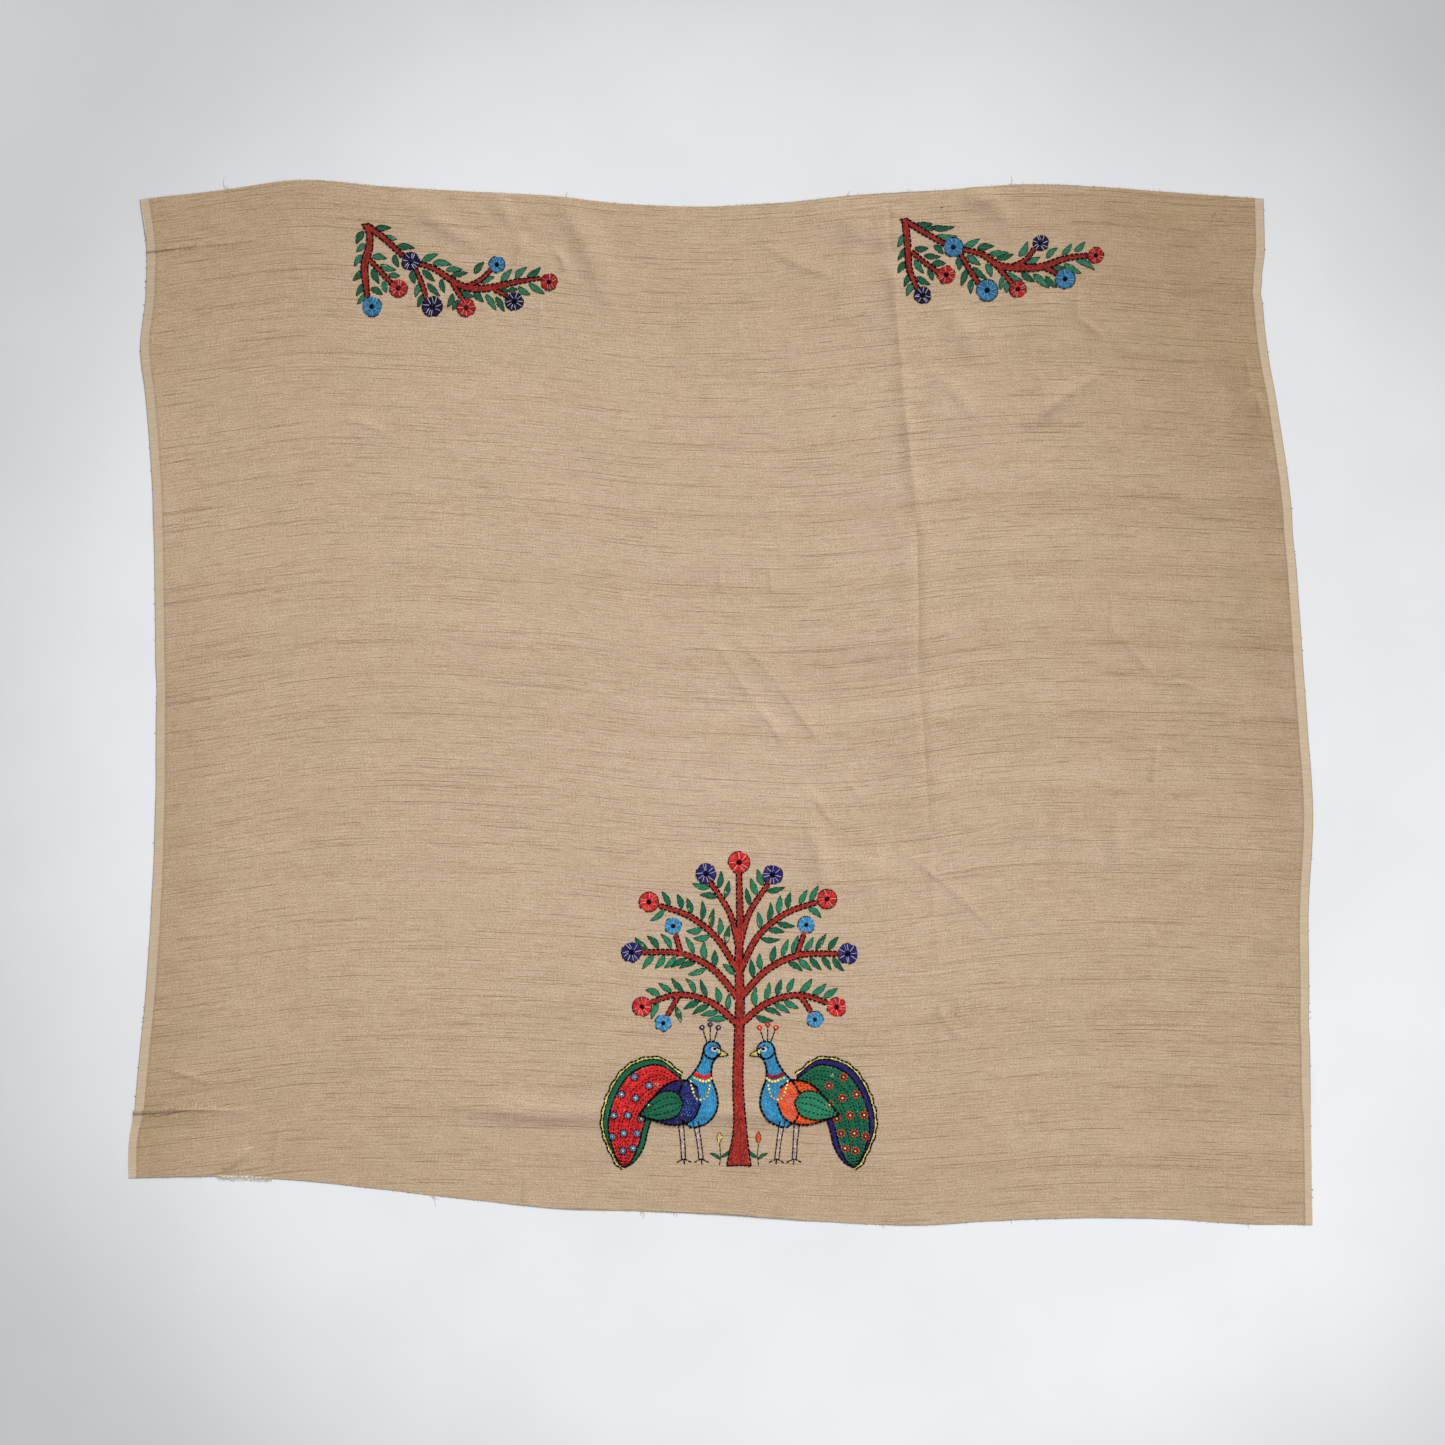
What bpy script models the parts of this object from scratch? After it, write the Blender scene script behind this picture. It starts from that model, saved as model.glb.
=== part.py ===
"""A kantha embroidered fabric: one cut length of slubbed cloth lying loosely on a flat surface.

Metres, +Z up. +X runs along the weft from the left selvedge to the right one, +Y runs along
the warp towards the edge with the two sprays. The origin is under the middle of the cloth.
"""
import math

import bpy

# Driving dimensions
CLOTH_THICKNESS = 0.0012
COLUMNS_ACROSS = 76
ROWS_DOWN = 67
CREASE_ACROSS = 2 / 3
CREASE_REACH = 0.006
PLEATS_DOWN = (0.051, 0.937)
PLEAT_REACH = 0.006
LINE_CLEARANCE = 1.5
ARC_STEPS = 8
END_HEIGHT = 0.30
END_RISE = 2.1

# The plan of the warp lines: share of the length down the cloth, then x of each line.
WARP_COLUMNS = ("down", "left_selvedge", "storage_crease", "right_selvedge")
WARP_LINES = (
    (0.00, -0.566, 0.167, 0.529),
    (0.05, -0.560, 0.168, 0.530),
    (0.10, -0.561, 0.169, 0.528),
    (0.15, -0.566, 0.174, 0.533),
    (0.20, -0.561, 0.180, 0.542),
    (0.30, -0.554, 0.190, 0.556),
    (0.40, -0.552, 0.193, 0.564),
    (0.50, -0.551, 0.195, 0.572),
    (0.60, -0.551, 0.201, 0.577),
    (0.70, -0.554, 0.212, 0.573),
    (0.80, -0.560, 0.215, 0.574),
    (0.90, -0.568, 0.213, 0.575),
    (1.00, -0.576, 0.207, 0.578),
)

# The plan of the two cut edges, at equal steps across the cloth: y of each edge.
EDGE_COLUMNS = ("top_edge", "bottom_edge")
EDGE_LINES = (
    (0.491, -0.464),
    (0.500, -0.462),
    (0.510, -0.465),
    (0.504, -0.474),
    (0.499, -0.485),
    (0.495, -0.494),
    (0.487, -0.497),
    (0.484, -0.500),
    (0.488, -0.506),
    (0.496, -0.510),
    (0.500, -0.506),
    (0.506, -0.503),
    (0.503, -0.503),
    (0.497, -0.508),
    (0.492, -0.510),
)

# The folds that lift the cloth: plan of both ends, sideways bow of the middle, half of the
# fold's width and its height.
FOLD_COLUMNS = ("name", "x0", "y0", "x1", "y1", "bow", "half_width", "height")
FOLD_ROWS = (
    ("storage_crease_top", 0.169, 0.420, 0.190, 0.190, -0.003, 0.011, 0.0024),
    ("storage_crease_middle", 0.188, 0.235, 0.194, -0.010, 0.001, 0.012, 0.0030),
    ("storage_crease_bottom", 0.194, 0.040, 0.214, -0.240, -0.003, 0.013, 0.0022),
    ("left_pleat_top", -0.562, 0.438, -0.405, 0.452, 0.002, 0.010, 0.0034),
    ("left_pleat_bottom", -0.574, -0.404, -0.440, -0.400, 0.001, 0.010, 0.0038),
    ("left_wave_bottom", -0.560, -0.352, -0.490, -0.375, 0.002, 0.014, 0.0022),
    ("corner_wrinkle", -0.455, -0.425, -0.490, -0.456, 0.000, 0.015, 0.0024),
    ("hem_wrinkle", -0.430, -0.415, -0.440, -0.463, 0.000, 0.012, 0.0020),
    ("top_fold_centre", -0.150, 0.492, -0.113, 0.395, 0.004, 0.017, 0.0036),
    ("top_fold_left", -0.278, 0.486, -0.240, 0.436, -0.003, 0.018, 0.0026),
    ("top_fold_edge", -0.222, 0.496, -0.204, 0.468, 0.000, 0.013, 0.0022),
    ("spray_tuck_left", -0.190, 0.462, -0.205, 0.415, 0.002, 0.014, 0.0022),
    ("top_diagonal", 0.040, 0.452, 0.112, 0.412, -0.005, 0.015, 0.0028),
    ("top_swell", 0.105, 0.474, 0.155, 0.455, 0.002, 0.022, 0.0026),
    ("spray_tuck_right", 0.166, 0.432, 0.172, 0.385, 0.000, 0.014, 0.0026),
    ("top_curl_right", 0.240, 0.497, 0.283, 0.462, 0.008, 0.017, 0.0030),
    ("under_spray", 0.228, 0.392, 0.250, 0.345, -0.004, 0.019, 0.0026),
    ("under_spray_right", 0.342, 0.398, 0.300, 0.345, -0.010, 0.020, 0.0026),
    ("right_diagonal", 0.298, 0.262, 0.378, 0.330, 0.010, 0.022, 0.0036),
    ("right_edge_swell", 0.505, 0.335, 0.522, 0.268, 0.004, 0.026, 0.0028),
    ("centre_diagonal_left", -0.005, 0.062, 0.062, -0.046, -0.003, 0.015, 0.0028),
    ("centre_diagonal_right", 0.030, 0.052, 0.108, -0.050, 0.003, 0.015, 0.0026),
    ("centre_diagonal_tail", 0.070, -0.066, 0.112, -0.116, 0.000, 0.013, 0.0022),
    ("panel_tuck_upright", 0.090, -0.118, 0.104, -0.186, 0.003, 0.018, 0.0034),
    ("panel_tuck_slant", 0.022, -0.160, 0.050, -0.125, 0.000, 0.016, 0.0024),
    ("panel_tuck_short", 0.155, -0.150, 0.148, -0.192, 0.000, 0.014, 0.0022),
    ("lower_diagonal", 0.175, -0.128, 0.288, -0.242, -0.004, 0.016, 0.0028),
    ("right_chevron", 0.392, 0.072, 0.434, 0.018, -0.004, 0.016, 0.0024),
    ("right_upright", 0.426, -0.012, 0.412, -0.075, 0.003, 0.016, 0.0020),
    ("right_lower_swell", 0.392, -0.122, 0.398, -0.176, 0.002, 0.020, 0.0024),
    ("selvedge_swell", 0.524, 0.130, 0.522, 0.050, 0.004, 0.024, 0.0028),
    ("low_ridge_left", -0.236, -0.396, -0.105, -0.412, -0.004, 0.018, 0.0040),
    ("low_ridge_centre", -0.120, -0.411, 0.125, -0.408, 0.002, 0.016, 0.0030),
    ("hem_upright", -0.188, -0.458, -0.190, -0.490, 0.000, 0.014, 0.0020),
)

# Surface values
CLOTH_COLOUR = (0.545, 0.420, 0.295, 1.0)
CLOTH_ROUGHNESS = 0.78


def clear_scene():
    for old in list(bpy.data.objects):
        bpy.data.objects.remove(old, do_unlink=True)


def column(rows, names, name):
    """The values of one named column of a table."""
    place = names.index(name)
    return [row[place] for row in rows]


def smooth_read(places, values, at):
    """Reads a table on a smooth curve that passes through each of its rows."""
    last = len(places) - 1
    row = max(i for i in range(last) if places[i] <= at or i == 0)
    span = places[row + 1] - places[row]
    part = (at - places[row]) / span

    def slope(i):
        low = max(i - 1, 0)
        high = min(i + 1, last)
        return (values[high] - values[low]) / (places[high] - places[low]) * span

    square = part * part
    cube = square * part
    return (
        values[row] * (2 * cube - 3 * square + 1)
        + slope(row) * (cube - 2 * square + part)
        + values[row + 1] * (3 * square - 2 * cube)
        + slope(row + 1) * (cube - square)
    )


def plan_point(across, down):
    """Plan position of the point at a share of the cloth's width and length."""
    places = column(WARP_LINES, WARP_COLUMNS, "down")
    left, crease, right = (
        smooth_read(places, column(WARP_LINES, WARP_COLUMNS, name), down)
        for name in WARP_COLUMNS[1:]
    )
    if across <= CREASE_ACROSS:
        x = left + (crease - left) * across / CREASE_ACROSS
    else:
        x = crease + (right - crease) * (across - CREASE_ACROSS) / (1 - CREASE_ACROSS)
    steps = [i / (len(EDGE_LINES) - 1) for i in range(len(EDGE_LINES))]
    top, bottom = (
        smooth_read(steps, column(EDGE_LINES, EDGE_COLUMNS, name), across)
        for name in EDGE_COLUMNS
    )
    return x, top + (bottom - top) * down


def fold_arc(fold):
    """Plan points along one fold, bowed sideways in the middle."""
    run_x = fold["x1"] - fold["x0"]
    run_y = fold["y1"] - fold["y0"]
    length = math.hypot(run_x, run_y)
    points = []
    for i in range(ARC_STEPS + 1):
        part = i / ARC_STEPS
        swing = fold["bow"] * math.sin(math.pi * part) / length
        points.append((fold["x0"] + run_x * part - run_y * swing,
                       fold["y0"] + run_y * part + run_x * swing))
    return points


def nearest_on_arc(points, x, y):
    """Distance from a plan point to an arc, and the share of the arc where it is nearest."""
    best = (math.inf, 0.0)
    for i in range(len(points) - 1):
        (ax, ay), (bx, by) = points[i], points[i + 1]
        run_x = bx - ax
        run_y = by - ay
        part = ((x - ax) * run_x + (y - ay) * run_y) / (run_x ** 2 + run_y ** 2)
        part = min(max(part, 0.0), 1.0)
        away = math.hypot(x - ax - run_x * part, y - ay - run_y * part)
        best = min(best, (away, (i + part) / (len(points) - 1)))
    return best


def end_fade(part):
    """A fold is low at both of its ends."""
    return min(1.0, END_HEIGHT + END_RISE * min(part, 1 - part))


def lift(folds, x, y):
    """Height of the cloth's underside over the surface it lies on."""
    height = 0.0
    for fold, arc in folds:
        away, part = nearest_on_arc(arc, x, y)
        if away < fold["half_width"]:
            bell = (1 - (away / fold["half_width"]) ** 2) ** 2
            height += fold["height"] * end_fade(part) * bell
    return height


def stations(count, creases, reach):
    """Equal steps from 0 to 1, with three close lines along each sharp crease."""
    even = [i / count for i in range(count + 1)]
    sharp = [crease + side * reach for crease in creases for side in (-1, 0, 1)]
    clear = LINE_CLEARANCE * reach
    kept = [place for place in even if all(abs(place - near) > clear for near in creases)]
    return sorted(kept + sharp)


def cloth_surface():
    """The underside of the cloth as a grid of points and four-sided faces."""
    table = [dict(zip(FOLD_COLUMNS, row)) for row in FOLD_ROWS]
    folds = [(fold, fold_arc(fold)) for fold in table]
    across_steps = stations(COLUMNS_ACROSS, (CREASE_ACROSS,), CREASE_REACH)
    down_steps = stations(ROWS_DOWN, PLEATS_DOWN, PLEAT_REACH)
    plan = [plan_point(across, down) for down in down_steps for across in across_steps]
    middle_x = (min(x for x, _ in plan) + max(x for x, _ in plan)) / 2
    middle_y = (min(y for _, y in plan) + max(y for _, y in plan)) / 2
    points = [(x - middle_x, y - middle_y, lift(folds, x, y)) for x, y in plan]
    width = len(across_steps)
    faces = []
    for row in range(len(down_steps) - 1):
        for step in range(width - 1):
            corner = row * width + step
            faces.append((corner, corner + width, corner + width + 1, corner + 1))
    return points, faces


def cloth_material():
    material = bpy.data.materials.new("slub_cloth")
    material.use_nodes = True
    shader = material.node_tree.nodes["Principled BSDF"]
    shader.inputs["Base Color"].default_value = CLOTH_COLOUR
    shader.inputs["Roughness"].default_value = CLOTH_ROUGHNESS
    shader.inputs["Metallic"].default_value = 0.0
    return material


def build_cloth():
    """One sheet of even thickness, its underside on the surface between the folds."""
    points, faces = cloth_surface()
    mesh = bpy.data.meshes.new("cloth")
    mesh.from_pydata(points, [], faces)
    mesh.materials.append(cloth_material())
    cloth = bpy.data.objects.new("cloth", mesh)
    bpy.context.scene.collection.objects.link(cloth)
    body = cloth.modifiers.new("thickness", "SOLIDIFY")
    body.thickness = CLOTH_THICKNESS
    body.offset = 1.0
    mesh.shade_smooth()
    return cloth


clear_scene()
build_cloth()
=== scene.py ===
import math
import random

import bmesh
import bpy
import numpy as np
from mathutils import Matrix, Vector
from mathutils.bvhtree import BVHTree


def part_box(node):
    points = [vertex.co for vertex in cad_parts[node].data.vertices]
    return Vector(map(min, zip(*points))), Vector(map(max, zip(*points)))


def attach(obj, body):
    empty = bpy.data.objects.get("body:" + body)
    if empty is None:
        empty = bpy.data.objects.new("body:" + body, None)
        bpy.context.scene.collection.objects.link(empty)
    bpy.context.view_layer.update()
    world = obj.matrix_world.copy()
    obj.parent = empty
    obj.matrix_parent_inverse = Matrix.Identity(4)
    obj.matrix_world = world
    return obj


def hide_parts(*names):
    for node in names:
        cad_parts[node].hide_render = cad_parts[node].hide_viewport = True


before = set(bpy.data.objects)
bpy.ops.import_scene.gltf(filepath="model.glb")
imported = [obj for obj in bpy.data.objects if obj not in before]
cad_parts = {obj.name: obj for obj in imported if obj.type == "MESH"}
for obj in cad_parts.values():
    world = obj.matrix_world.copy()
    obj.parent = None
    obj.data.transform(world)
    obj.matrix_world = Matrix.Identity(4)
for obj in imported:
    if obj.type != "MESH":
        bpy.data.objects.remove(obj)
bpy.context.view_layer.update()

# The looks of a kantha embroidered fabric: the cloth with its folds and weave, the stitches
# worked into it, and the thread ends along its cut edges. Metres, +Z up, as in the frame.

# Camera, straight above the cloth, and how wide a strip of cloth and floor it sees
VIEW_WIDTH = 1.4110425
VIEW_CENTRE = (0.0015, -0.0195)
LENS = 50.0
SENSOR = 36.0

# Light: a broad key from the top right, and a warm even surround
TO_LIGHT = (0.33, 0.68, 0.65)
KEY_STRENGTH = 2.68
KEY_SPREAD = 28
SURROUND = (1.0, 0.975, 0.945, 1.0)
SURROUND_STRENGTH = 0.42

# Floor: its size, how far it lies below the cloth, and its two tones
FLOOR_SIZE = 6.0
FLOOR_HEIGHT = -0.0002
FLOOR_TONES = ((0.818, 0.841, 0.866), (0.853, 0.875, 0.900))

# Cloth sizes
FLAT_WIDTH = 1.13
FLAT_LENGTH = 0.99
SHEET = 0.0004
SHARP_EDGE = 70
# The net is halved around folds, each time within a smaller distance of them
COLUMNS_ACROSS = 124
ROWS_DOWN = 108
FOLD_REFINE_REACH = (0.012,)
SHARP_REFINE_REACH = (0.007, 0.0031)
TUCK_REFINE_REACH = (0.012, 0.009, 0.005)
# Where the storage crease lies, as a share of the width
CREASE_ACROSS = 2 / 3

# Form of folds: height at the ends and how fast they rise from there, the rounding of a sharp
# crest and the power of its flanks, and what makes the two shoulders of a gutter 1 high
ARC_STEPS = 8
END_HEIGHT = 0.30
END_RISE = 2.1
CREST_END_RISE = 5
CREST_ROUND = 0.08
CREST_SPAN = 0.9232
CREST_POWER = 1.4
GUTTER_END_RISE = 6
GUTTER_SCALE = 6.75

# The plan of the warp lines: share of the length down the cloth, then x of each line.
WARP_COLUMNS = ("down", "left_selvedge", "storage_crease", "right_selvedge")
WARP_LINES = (
    (0.00, -0.566, 0.167, 0.5305),
    (0.05, -0.560, 0.168, 0.5318),
    (0.10, -0.561, 0.169, 0.5300),
    (0.15, -0.566, 0.174, 0.5348),
    (0.20, -0.561, 0.180, 0.5438),
    (0.30, -0.554, 0.190, 0.5578),
    (0.40, -0.552, 0.193, 0.5655),
    (0.50, -0.551, 0.195, 0.5725),
    (0.60, -0.551, 0.201, 0.5788),
    (0.70, -0.554, 0.212, 0.5745),
    (0.80, -0.560, 0.215, 0.5758),
    (0.90, -0.569, 0.213, 0.5768),
    (1.00, -0.577, 0.207, 0.5785),
)

# At equal steps across the cloth: y of each cut edge, and how far a weft thread near the top,
# the middle and the bottom of the cloth swings from level.
WEFT_COLUMNS = ("top_edge", "bottom_edge", "top_swing", "middle_swing", "bottom_swing")
WEFT_LINES = (
    (0.491, -0.464, 0.007, -0.004, -0.012),
    (0.500, -0.462, 0.018, 0.009, -0.003),
    (0.510, -0.4662, 0.026, 0.020, 0.007),
    (0.504, -0.4755, 0.020, 0.024, 0.008),
    (0.499, -0.485, 0.016, 0.020, 0.008),
    (0.495, -0.4935, 0.011, 0.014, 0.006),
    (0.487, -0.4963, 0.003, 0.004, 0.003),
    (0.484, -0.500, 0.000, 0.000, 0.000),
    (0.488, -0.506, 0.004, -0.003, -0.007),
    (0.496, -0.510, 0.012, 0.004, -0.007),
    (0.500, -0.506, 0.017, 0.016, -0.002),
    (0.506, -0.503, 0.021, 0.020, 0.004),
    (0.503, -0.503, 0.019, 0.019, 0.005),
    (0.497, -0.508, 0.012, 0.017, 0.002),
    (0.492, -0.510, 0.008, 0.013, -0.001),
)

# Folds that lift the cloth, in millimetres: plan of both ends, sideways bow of the middle, half
# of the width, and height. The last column is how far the crest leans to the left of the fold's
# own direction, as a share of the half width. A negative height is a gutter between two shoulders.
FOLD_COLUMNS = ("x0", "y0", "x1", "y1", "bow", "half_width", "height", "lean")
ROUND_FOLDS = (
    # Left side
    (-562, 438, -405, 452, 2, 8, 0.6, 0),
    (-574, -404, -460, -400, 1, 9, 1, 0),
    # Top edge
    (-148, 494, -107, 398, 4, 19, 4, -0.5),
    (-297, 489, -231, 447, -2, 13, 2.3, -0.35),
    (-222, 496, -204, 468, 0, 13, 2.2, 0),
    (105, 474, 155, 455, 2, 22, 2.6, 0),
    (240, 497, 283, 462, 8, 14, 2.8, 0),
    # Around the right spray
    (166, 432, 172, 385, 0, 14, 2.4, 0),
    (228, 392, 250, 345, -4, 19, 2.4, 0),
    (342, 398, 300, 345, -10, 20, 2.4, 0),
    (131, 450, 113, 390, 2, 11, 2.2, 0),
    (206, 323, 250, 280, 2, 10, 1.5, 0),
    (287, 348, 321, 378, 2, 9, 1.2, 0),
    (427, 336, 458, 374, 1, 20, -0.9, 0),
    # Middle, and beside the panel
    (-5, 62, 62, -46, -3, 16, 0.7, 0),
    (30, 52, 108, -50, 3, 16, 0.7, 0),
    (90, -118, 104, -186, 3, 14, 2.8, -0.3),
    (22, -160, 50, -125, 0, 12, 1.8, 0),
    (155, -150, 148, -192, 0, 12, 1.8, 0),
    # Right side
    (505, 335, 522, 268, 4, 26, 2.6, 0),
    (389, -116, 381, -160, 2, 11, 3.6, 0),
    (316, -112, 300, -138, 1, 7.5, 2.3, 0),
    (338, -114, 323, -140, 1, 7.5, 2.3, 0),
    (524, 130, 522, 50, 4, 24, 2.6, 0),
    # Bottom edge
    (-250, -389.5, -105, -398.5, -2, 15, 3.7, -0.45),
    (-130, -397.5, 125, -401, 2, 13, 2.7, -0.45),
)
# Folds pressed to a sharp crest, and small creases, in the same columns
SHARP_FOLDS = (
    # Storage crease, from the top down
    (165, 487, 166, 440, 0, 20, -1.2, 0),
    (169.5, 426, 182, 290, -1.5, 8.5, 2, 0),
    (174.5, 330, 193, 165, 1.5, 12, 3.3, 0),
    (191.5, 190, 193.2, 18, 1, 30, -2.2, 0),
    (193.2, 30, 204, -130, 1.5, 26, -1.2, 0),
    (203.5, -115, 214, -260, -1, 8, 0.9, 0),
    (214, -240, 210, -420, 2, 7, 0.5, 0),
    # Diagonals
    (43, 451, 118, 417, -4, 7.5, 0.9, -0.6),
    (294, 268, 369, 324, 3, 14, 3.6, -0.3),
    (-3, 60, 41, -5, 0, 6, 0.6, -0.65),
    (14, 71, 60, 20, 0, 6, 0.6, -0.65),
    (40, -4, 67, -43, 1, 6.5, 1, -0.65),
    (59, 20, 105, -43, -1, 6, 0.9, -0.65),
    (116, -59, 142, -96, 0, 6, 0.6, -0.65),
    (91, -83, 115, -119, -1, 6.5, 1.1, -0.65),
    (168, -132, 281, -230, 4, 9, 1, -0.6),
    (150, -152, 208, -193, 1, 7, 0.4, -0.6),
    (-369, 283, -316, 262, 0, 8, 0.7, -0.35),
    # Top edge, and beside the sprays
    (-192, 460, -202, 418, 2, 9, 2.6, 0),
    (-163, 442, -153, 420, 4, 7, 1.9, 0),
    (-176, 400, -175, 345, 0, 6, 0.8, 0),
    (350, 410, 348, 362, 0, 6, 0.8, 0),
    (348, 377, 376, 356, 0, 6.5, 1, 0),
    # Right side
    (378, 78, 433, 14, 1, 8, 0.8, 0),
    (434, 18, 470, 12, 3, 7, 0.8, 0),
    (427, -42, 419, -78, 1, 6, 2.4, 0),
    (420.5, -218, 423, -236, 0, 5, 0.8, 0),
    (382, 110, 383, 60, 0, 6, 0.8, 0),
    (500, 282, 518, 306, 0, 4.8, 1.3, 0),
    (479, 285, 493, 307, 1, 4.8, 1.2, 0),
    (513, 337, 517, 308, 0, 4.8, 1.2, 0),
    (523, 303, 528, 278, 0, 4.8, 1.2, 0),
    # Middle, and beside the panel
    (0, 129, 1, 106, 0, 5, 0.8, 0),
    (49, 133, 50, 107, 0, 5, 1.1, 0),
    (-11, 13, -10, -8, 0, 5, 0.6, 0),
    (153, -152, 153, -130, 0, 5, 0.8, 0),
    (214, -290, 240, -330, -6, 8, 1.1, 0),
    # Bottom left
    (-553, -354, -490, -375, 1, 6, 1, 0),
    (-461, -431, -487, -454, 1, 9, 2.6, 0.45),
    (-428, -408, -441, -463, 2, 5.5, 1.3, 0),
    (-188, -458, -190, -490, 0, 8, 1.3, 0),
    (-402, -218, -401, -290, 0, 6, 0.7, 0),
    (-470, -186, -468, -285, 0, 6, 0.7, 0),
)

# Tucks at the left selvedge: share of the length down, depth of the tuck at the selvedge,
# height of its lip and how far into the cloth it runs. The lip is highest at a share of its turn.
TUCK_COLUMNS = ("down", "depth", "lip", "reach", "half_width")
TUCK_ROWS = (
    (0.0535, 0.0022, 0.0014, 0.165, 0.0031),
    (0.9325, 0.0043, 0.0034, 0.130, 0.0054),
)
LIP_CREST = 0.35

# Small dents in the outline of the selvedges: side, share of the length down, depth, half length
DENT_COLUMNS = ("side", "down", "depth", "half_length")
DENT_ROWS = (
    ("right", 0.073, 0.0016, 0.016),
    ("right", 0.092, 0.0022, 0.013),
    ("left", 0.000, -0.0004, 0.012),
    ("left", 0.500, 0.0010, 0.030),
    ("left", 0.965, -0.0028, 0.040),
    ("right", 0.330, 0.0010, 0.030),
    ("right", 0.800, 0.0012, 0.025),
)
DENT_REACH = 0.045

# Slow waves of the loose cloth, and where the stitching puckers it: centre, half sizes, height.
# The waves have a shortest and a longest length and a seed.
WAVE_COUNT = 26
LOOSE_WAVES = (0.035, 0.140, 3)
LOOSE_HEIGHT = 0.0005
PUCKER_WAVES = (0.020, 0.045, 7)
PUCKER_FADE = (1.6, 1.1)
PUCKER_COLUMNS = ("x", "y", "half_x", "half_y", "height")
PUCKER_ROWS = (
    (-0.265, 0.430, 0.130, 0.070, 0.00045),
    (0.270, 0.435, 0.140, 0.075, 0.00050),
    (0.018, -0.300, 0.165, 0.185, 0.00050),
)

# The weave, in threads a metre: weft, warp, the rows that slubs keep to, and combed lines
PICKS = 1450.0
WARP_ENDS = 1900.0
SLUB_ROWS = 800.0
COMB_LINES = 330.0
# Distance between the darker bands across the weave, their shift, and how far they wander
BAND_STEP = 0.0706
BAND_SHIFT = 0.953
BAND_WANDER = 0.016

# Noises of the weave: how often they change along the weft and down the cloth, seed and detail
NOISE_COLUMNS = ("along", "down", "seed", "detail")
WEAVE_NOISES = {
    "streak": (40.0, 850.0, 5.0, 1.0),
    "grain": (600.0, 880.0, 3.0, 2.0),
    "warp": (620.0, 45.0, 6.0, 1.0),
    "sway": (9.0, 70.0, 14.0, 1.0),
    "comb": (34.0, 240.0, 16.0, 1.0),
    "drift": (2.2, 26.0, 4.0, 2.0),
    "blotch": (30.0, 50.0, 2.0, 1.0),
    "hue": (9.0, 13.0, 12.0, 2.0),
    "speck": (420.0, 700.0, 21.0, 1.0),
    "fleck": (300.0, 500.0, 25.0, 1.0),
}

# Colours of the cloth, linear, and tints that scale them
CLOTH_COLOURS = {
    "dark": (0.415, 0.286, 0.178),
    "light": (0.750, 0.590, 0.432),
    "pink": (0.600, 0.410, 0.300),
    "straw": (0.560, 0.450, 0.280),
    "inner_line": (0.300, 0.210, 0.130),
    "strip_dark": (0.530, 0.418, 0.292),
    "strip_light": (0.615, 0.494, 0.358),
    # Painted shade along the cloth's outermost edge
    "rim": (0.200, 0.145, 0.100),
}
# Tint of the painted shade that browns the cloth toward its sides and corners
PAINTED_SHADE_TINT = (0.72, 0.68, 0.60)
# Tint of the painted highlight beside each slub
FLANK_HIGHLIGHT_TINT = (1.20, 1.20, 1.20)
SLUB_TINT = (0.47, 0.39, 0.31)

# Colours of loose yarn ends, pale and dark
FIBRES = {
    "pale_fibre": ((0.860, 0.830, 0.770), (0.620, 0.540, 0.440)),
    "yarn_fibre": ((0.680, 0.590, 0.470), (0.440, 0.340, 0.240)),
    "dark_fibre": ((0.300, 0.220, 0.150), (0.130, 0.090, 0.060)),
}

# Stitch sizes in metres: width, length and distance of rows, and heights on the cloth
STRAND = 0.00155
STITCH = 0.0030
ROW_PITCH = 0.00140
SATIN_STRAND = 0.00110
SATIN_PITCH = 0.00092
SATIN_STITCH = 0.0045
OUTLINE_WIDTH = 0.00150
OUTLINE_DASH = 0.0040
OUTLINE_GAP = 0.0005
LINE_WIDTH = 0.0014
LINE_DASH = 0.0042
LINE_GAP = 0.0001
LEAF_LINE = 0.00072
LEAF_DASH = 0.0060
LEAF_DASH_GAP = 0.0002
PAD_HEIGHT = 0.00014
LAYER_STEP = 0.00016
STITCH_HEIGHT = 0.00042
LINE_HEIGHT = 0.00040
KNOT_HEIGHT = 0.0009
# How deep the sides and the tips of a stitch sink into the cloth
SINK = 0.00006
TIP_SINK = 0.00005
# Share of a fill's width that its pad stays within, size of a pad's squares in millimetres
PAD_INSET = 0.06
PAD_SQUARE = (2.0, 2.5)
# A pad's places in the thread's texture: step along, first strand and step across
PAD_STEP = 0.002
PAD_FIRST = 5000
PAD_STRANDS = 2.6
# Unevenness of hand work: of rows in a fill, and of stitch ends in lines and fills, millimetres
ROW_SLIP = 0.12
LINE_SPREAD = 0.07
FILL_SPREAD = 0.05
SHORTEST_STITCH = 0.5

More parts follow.
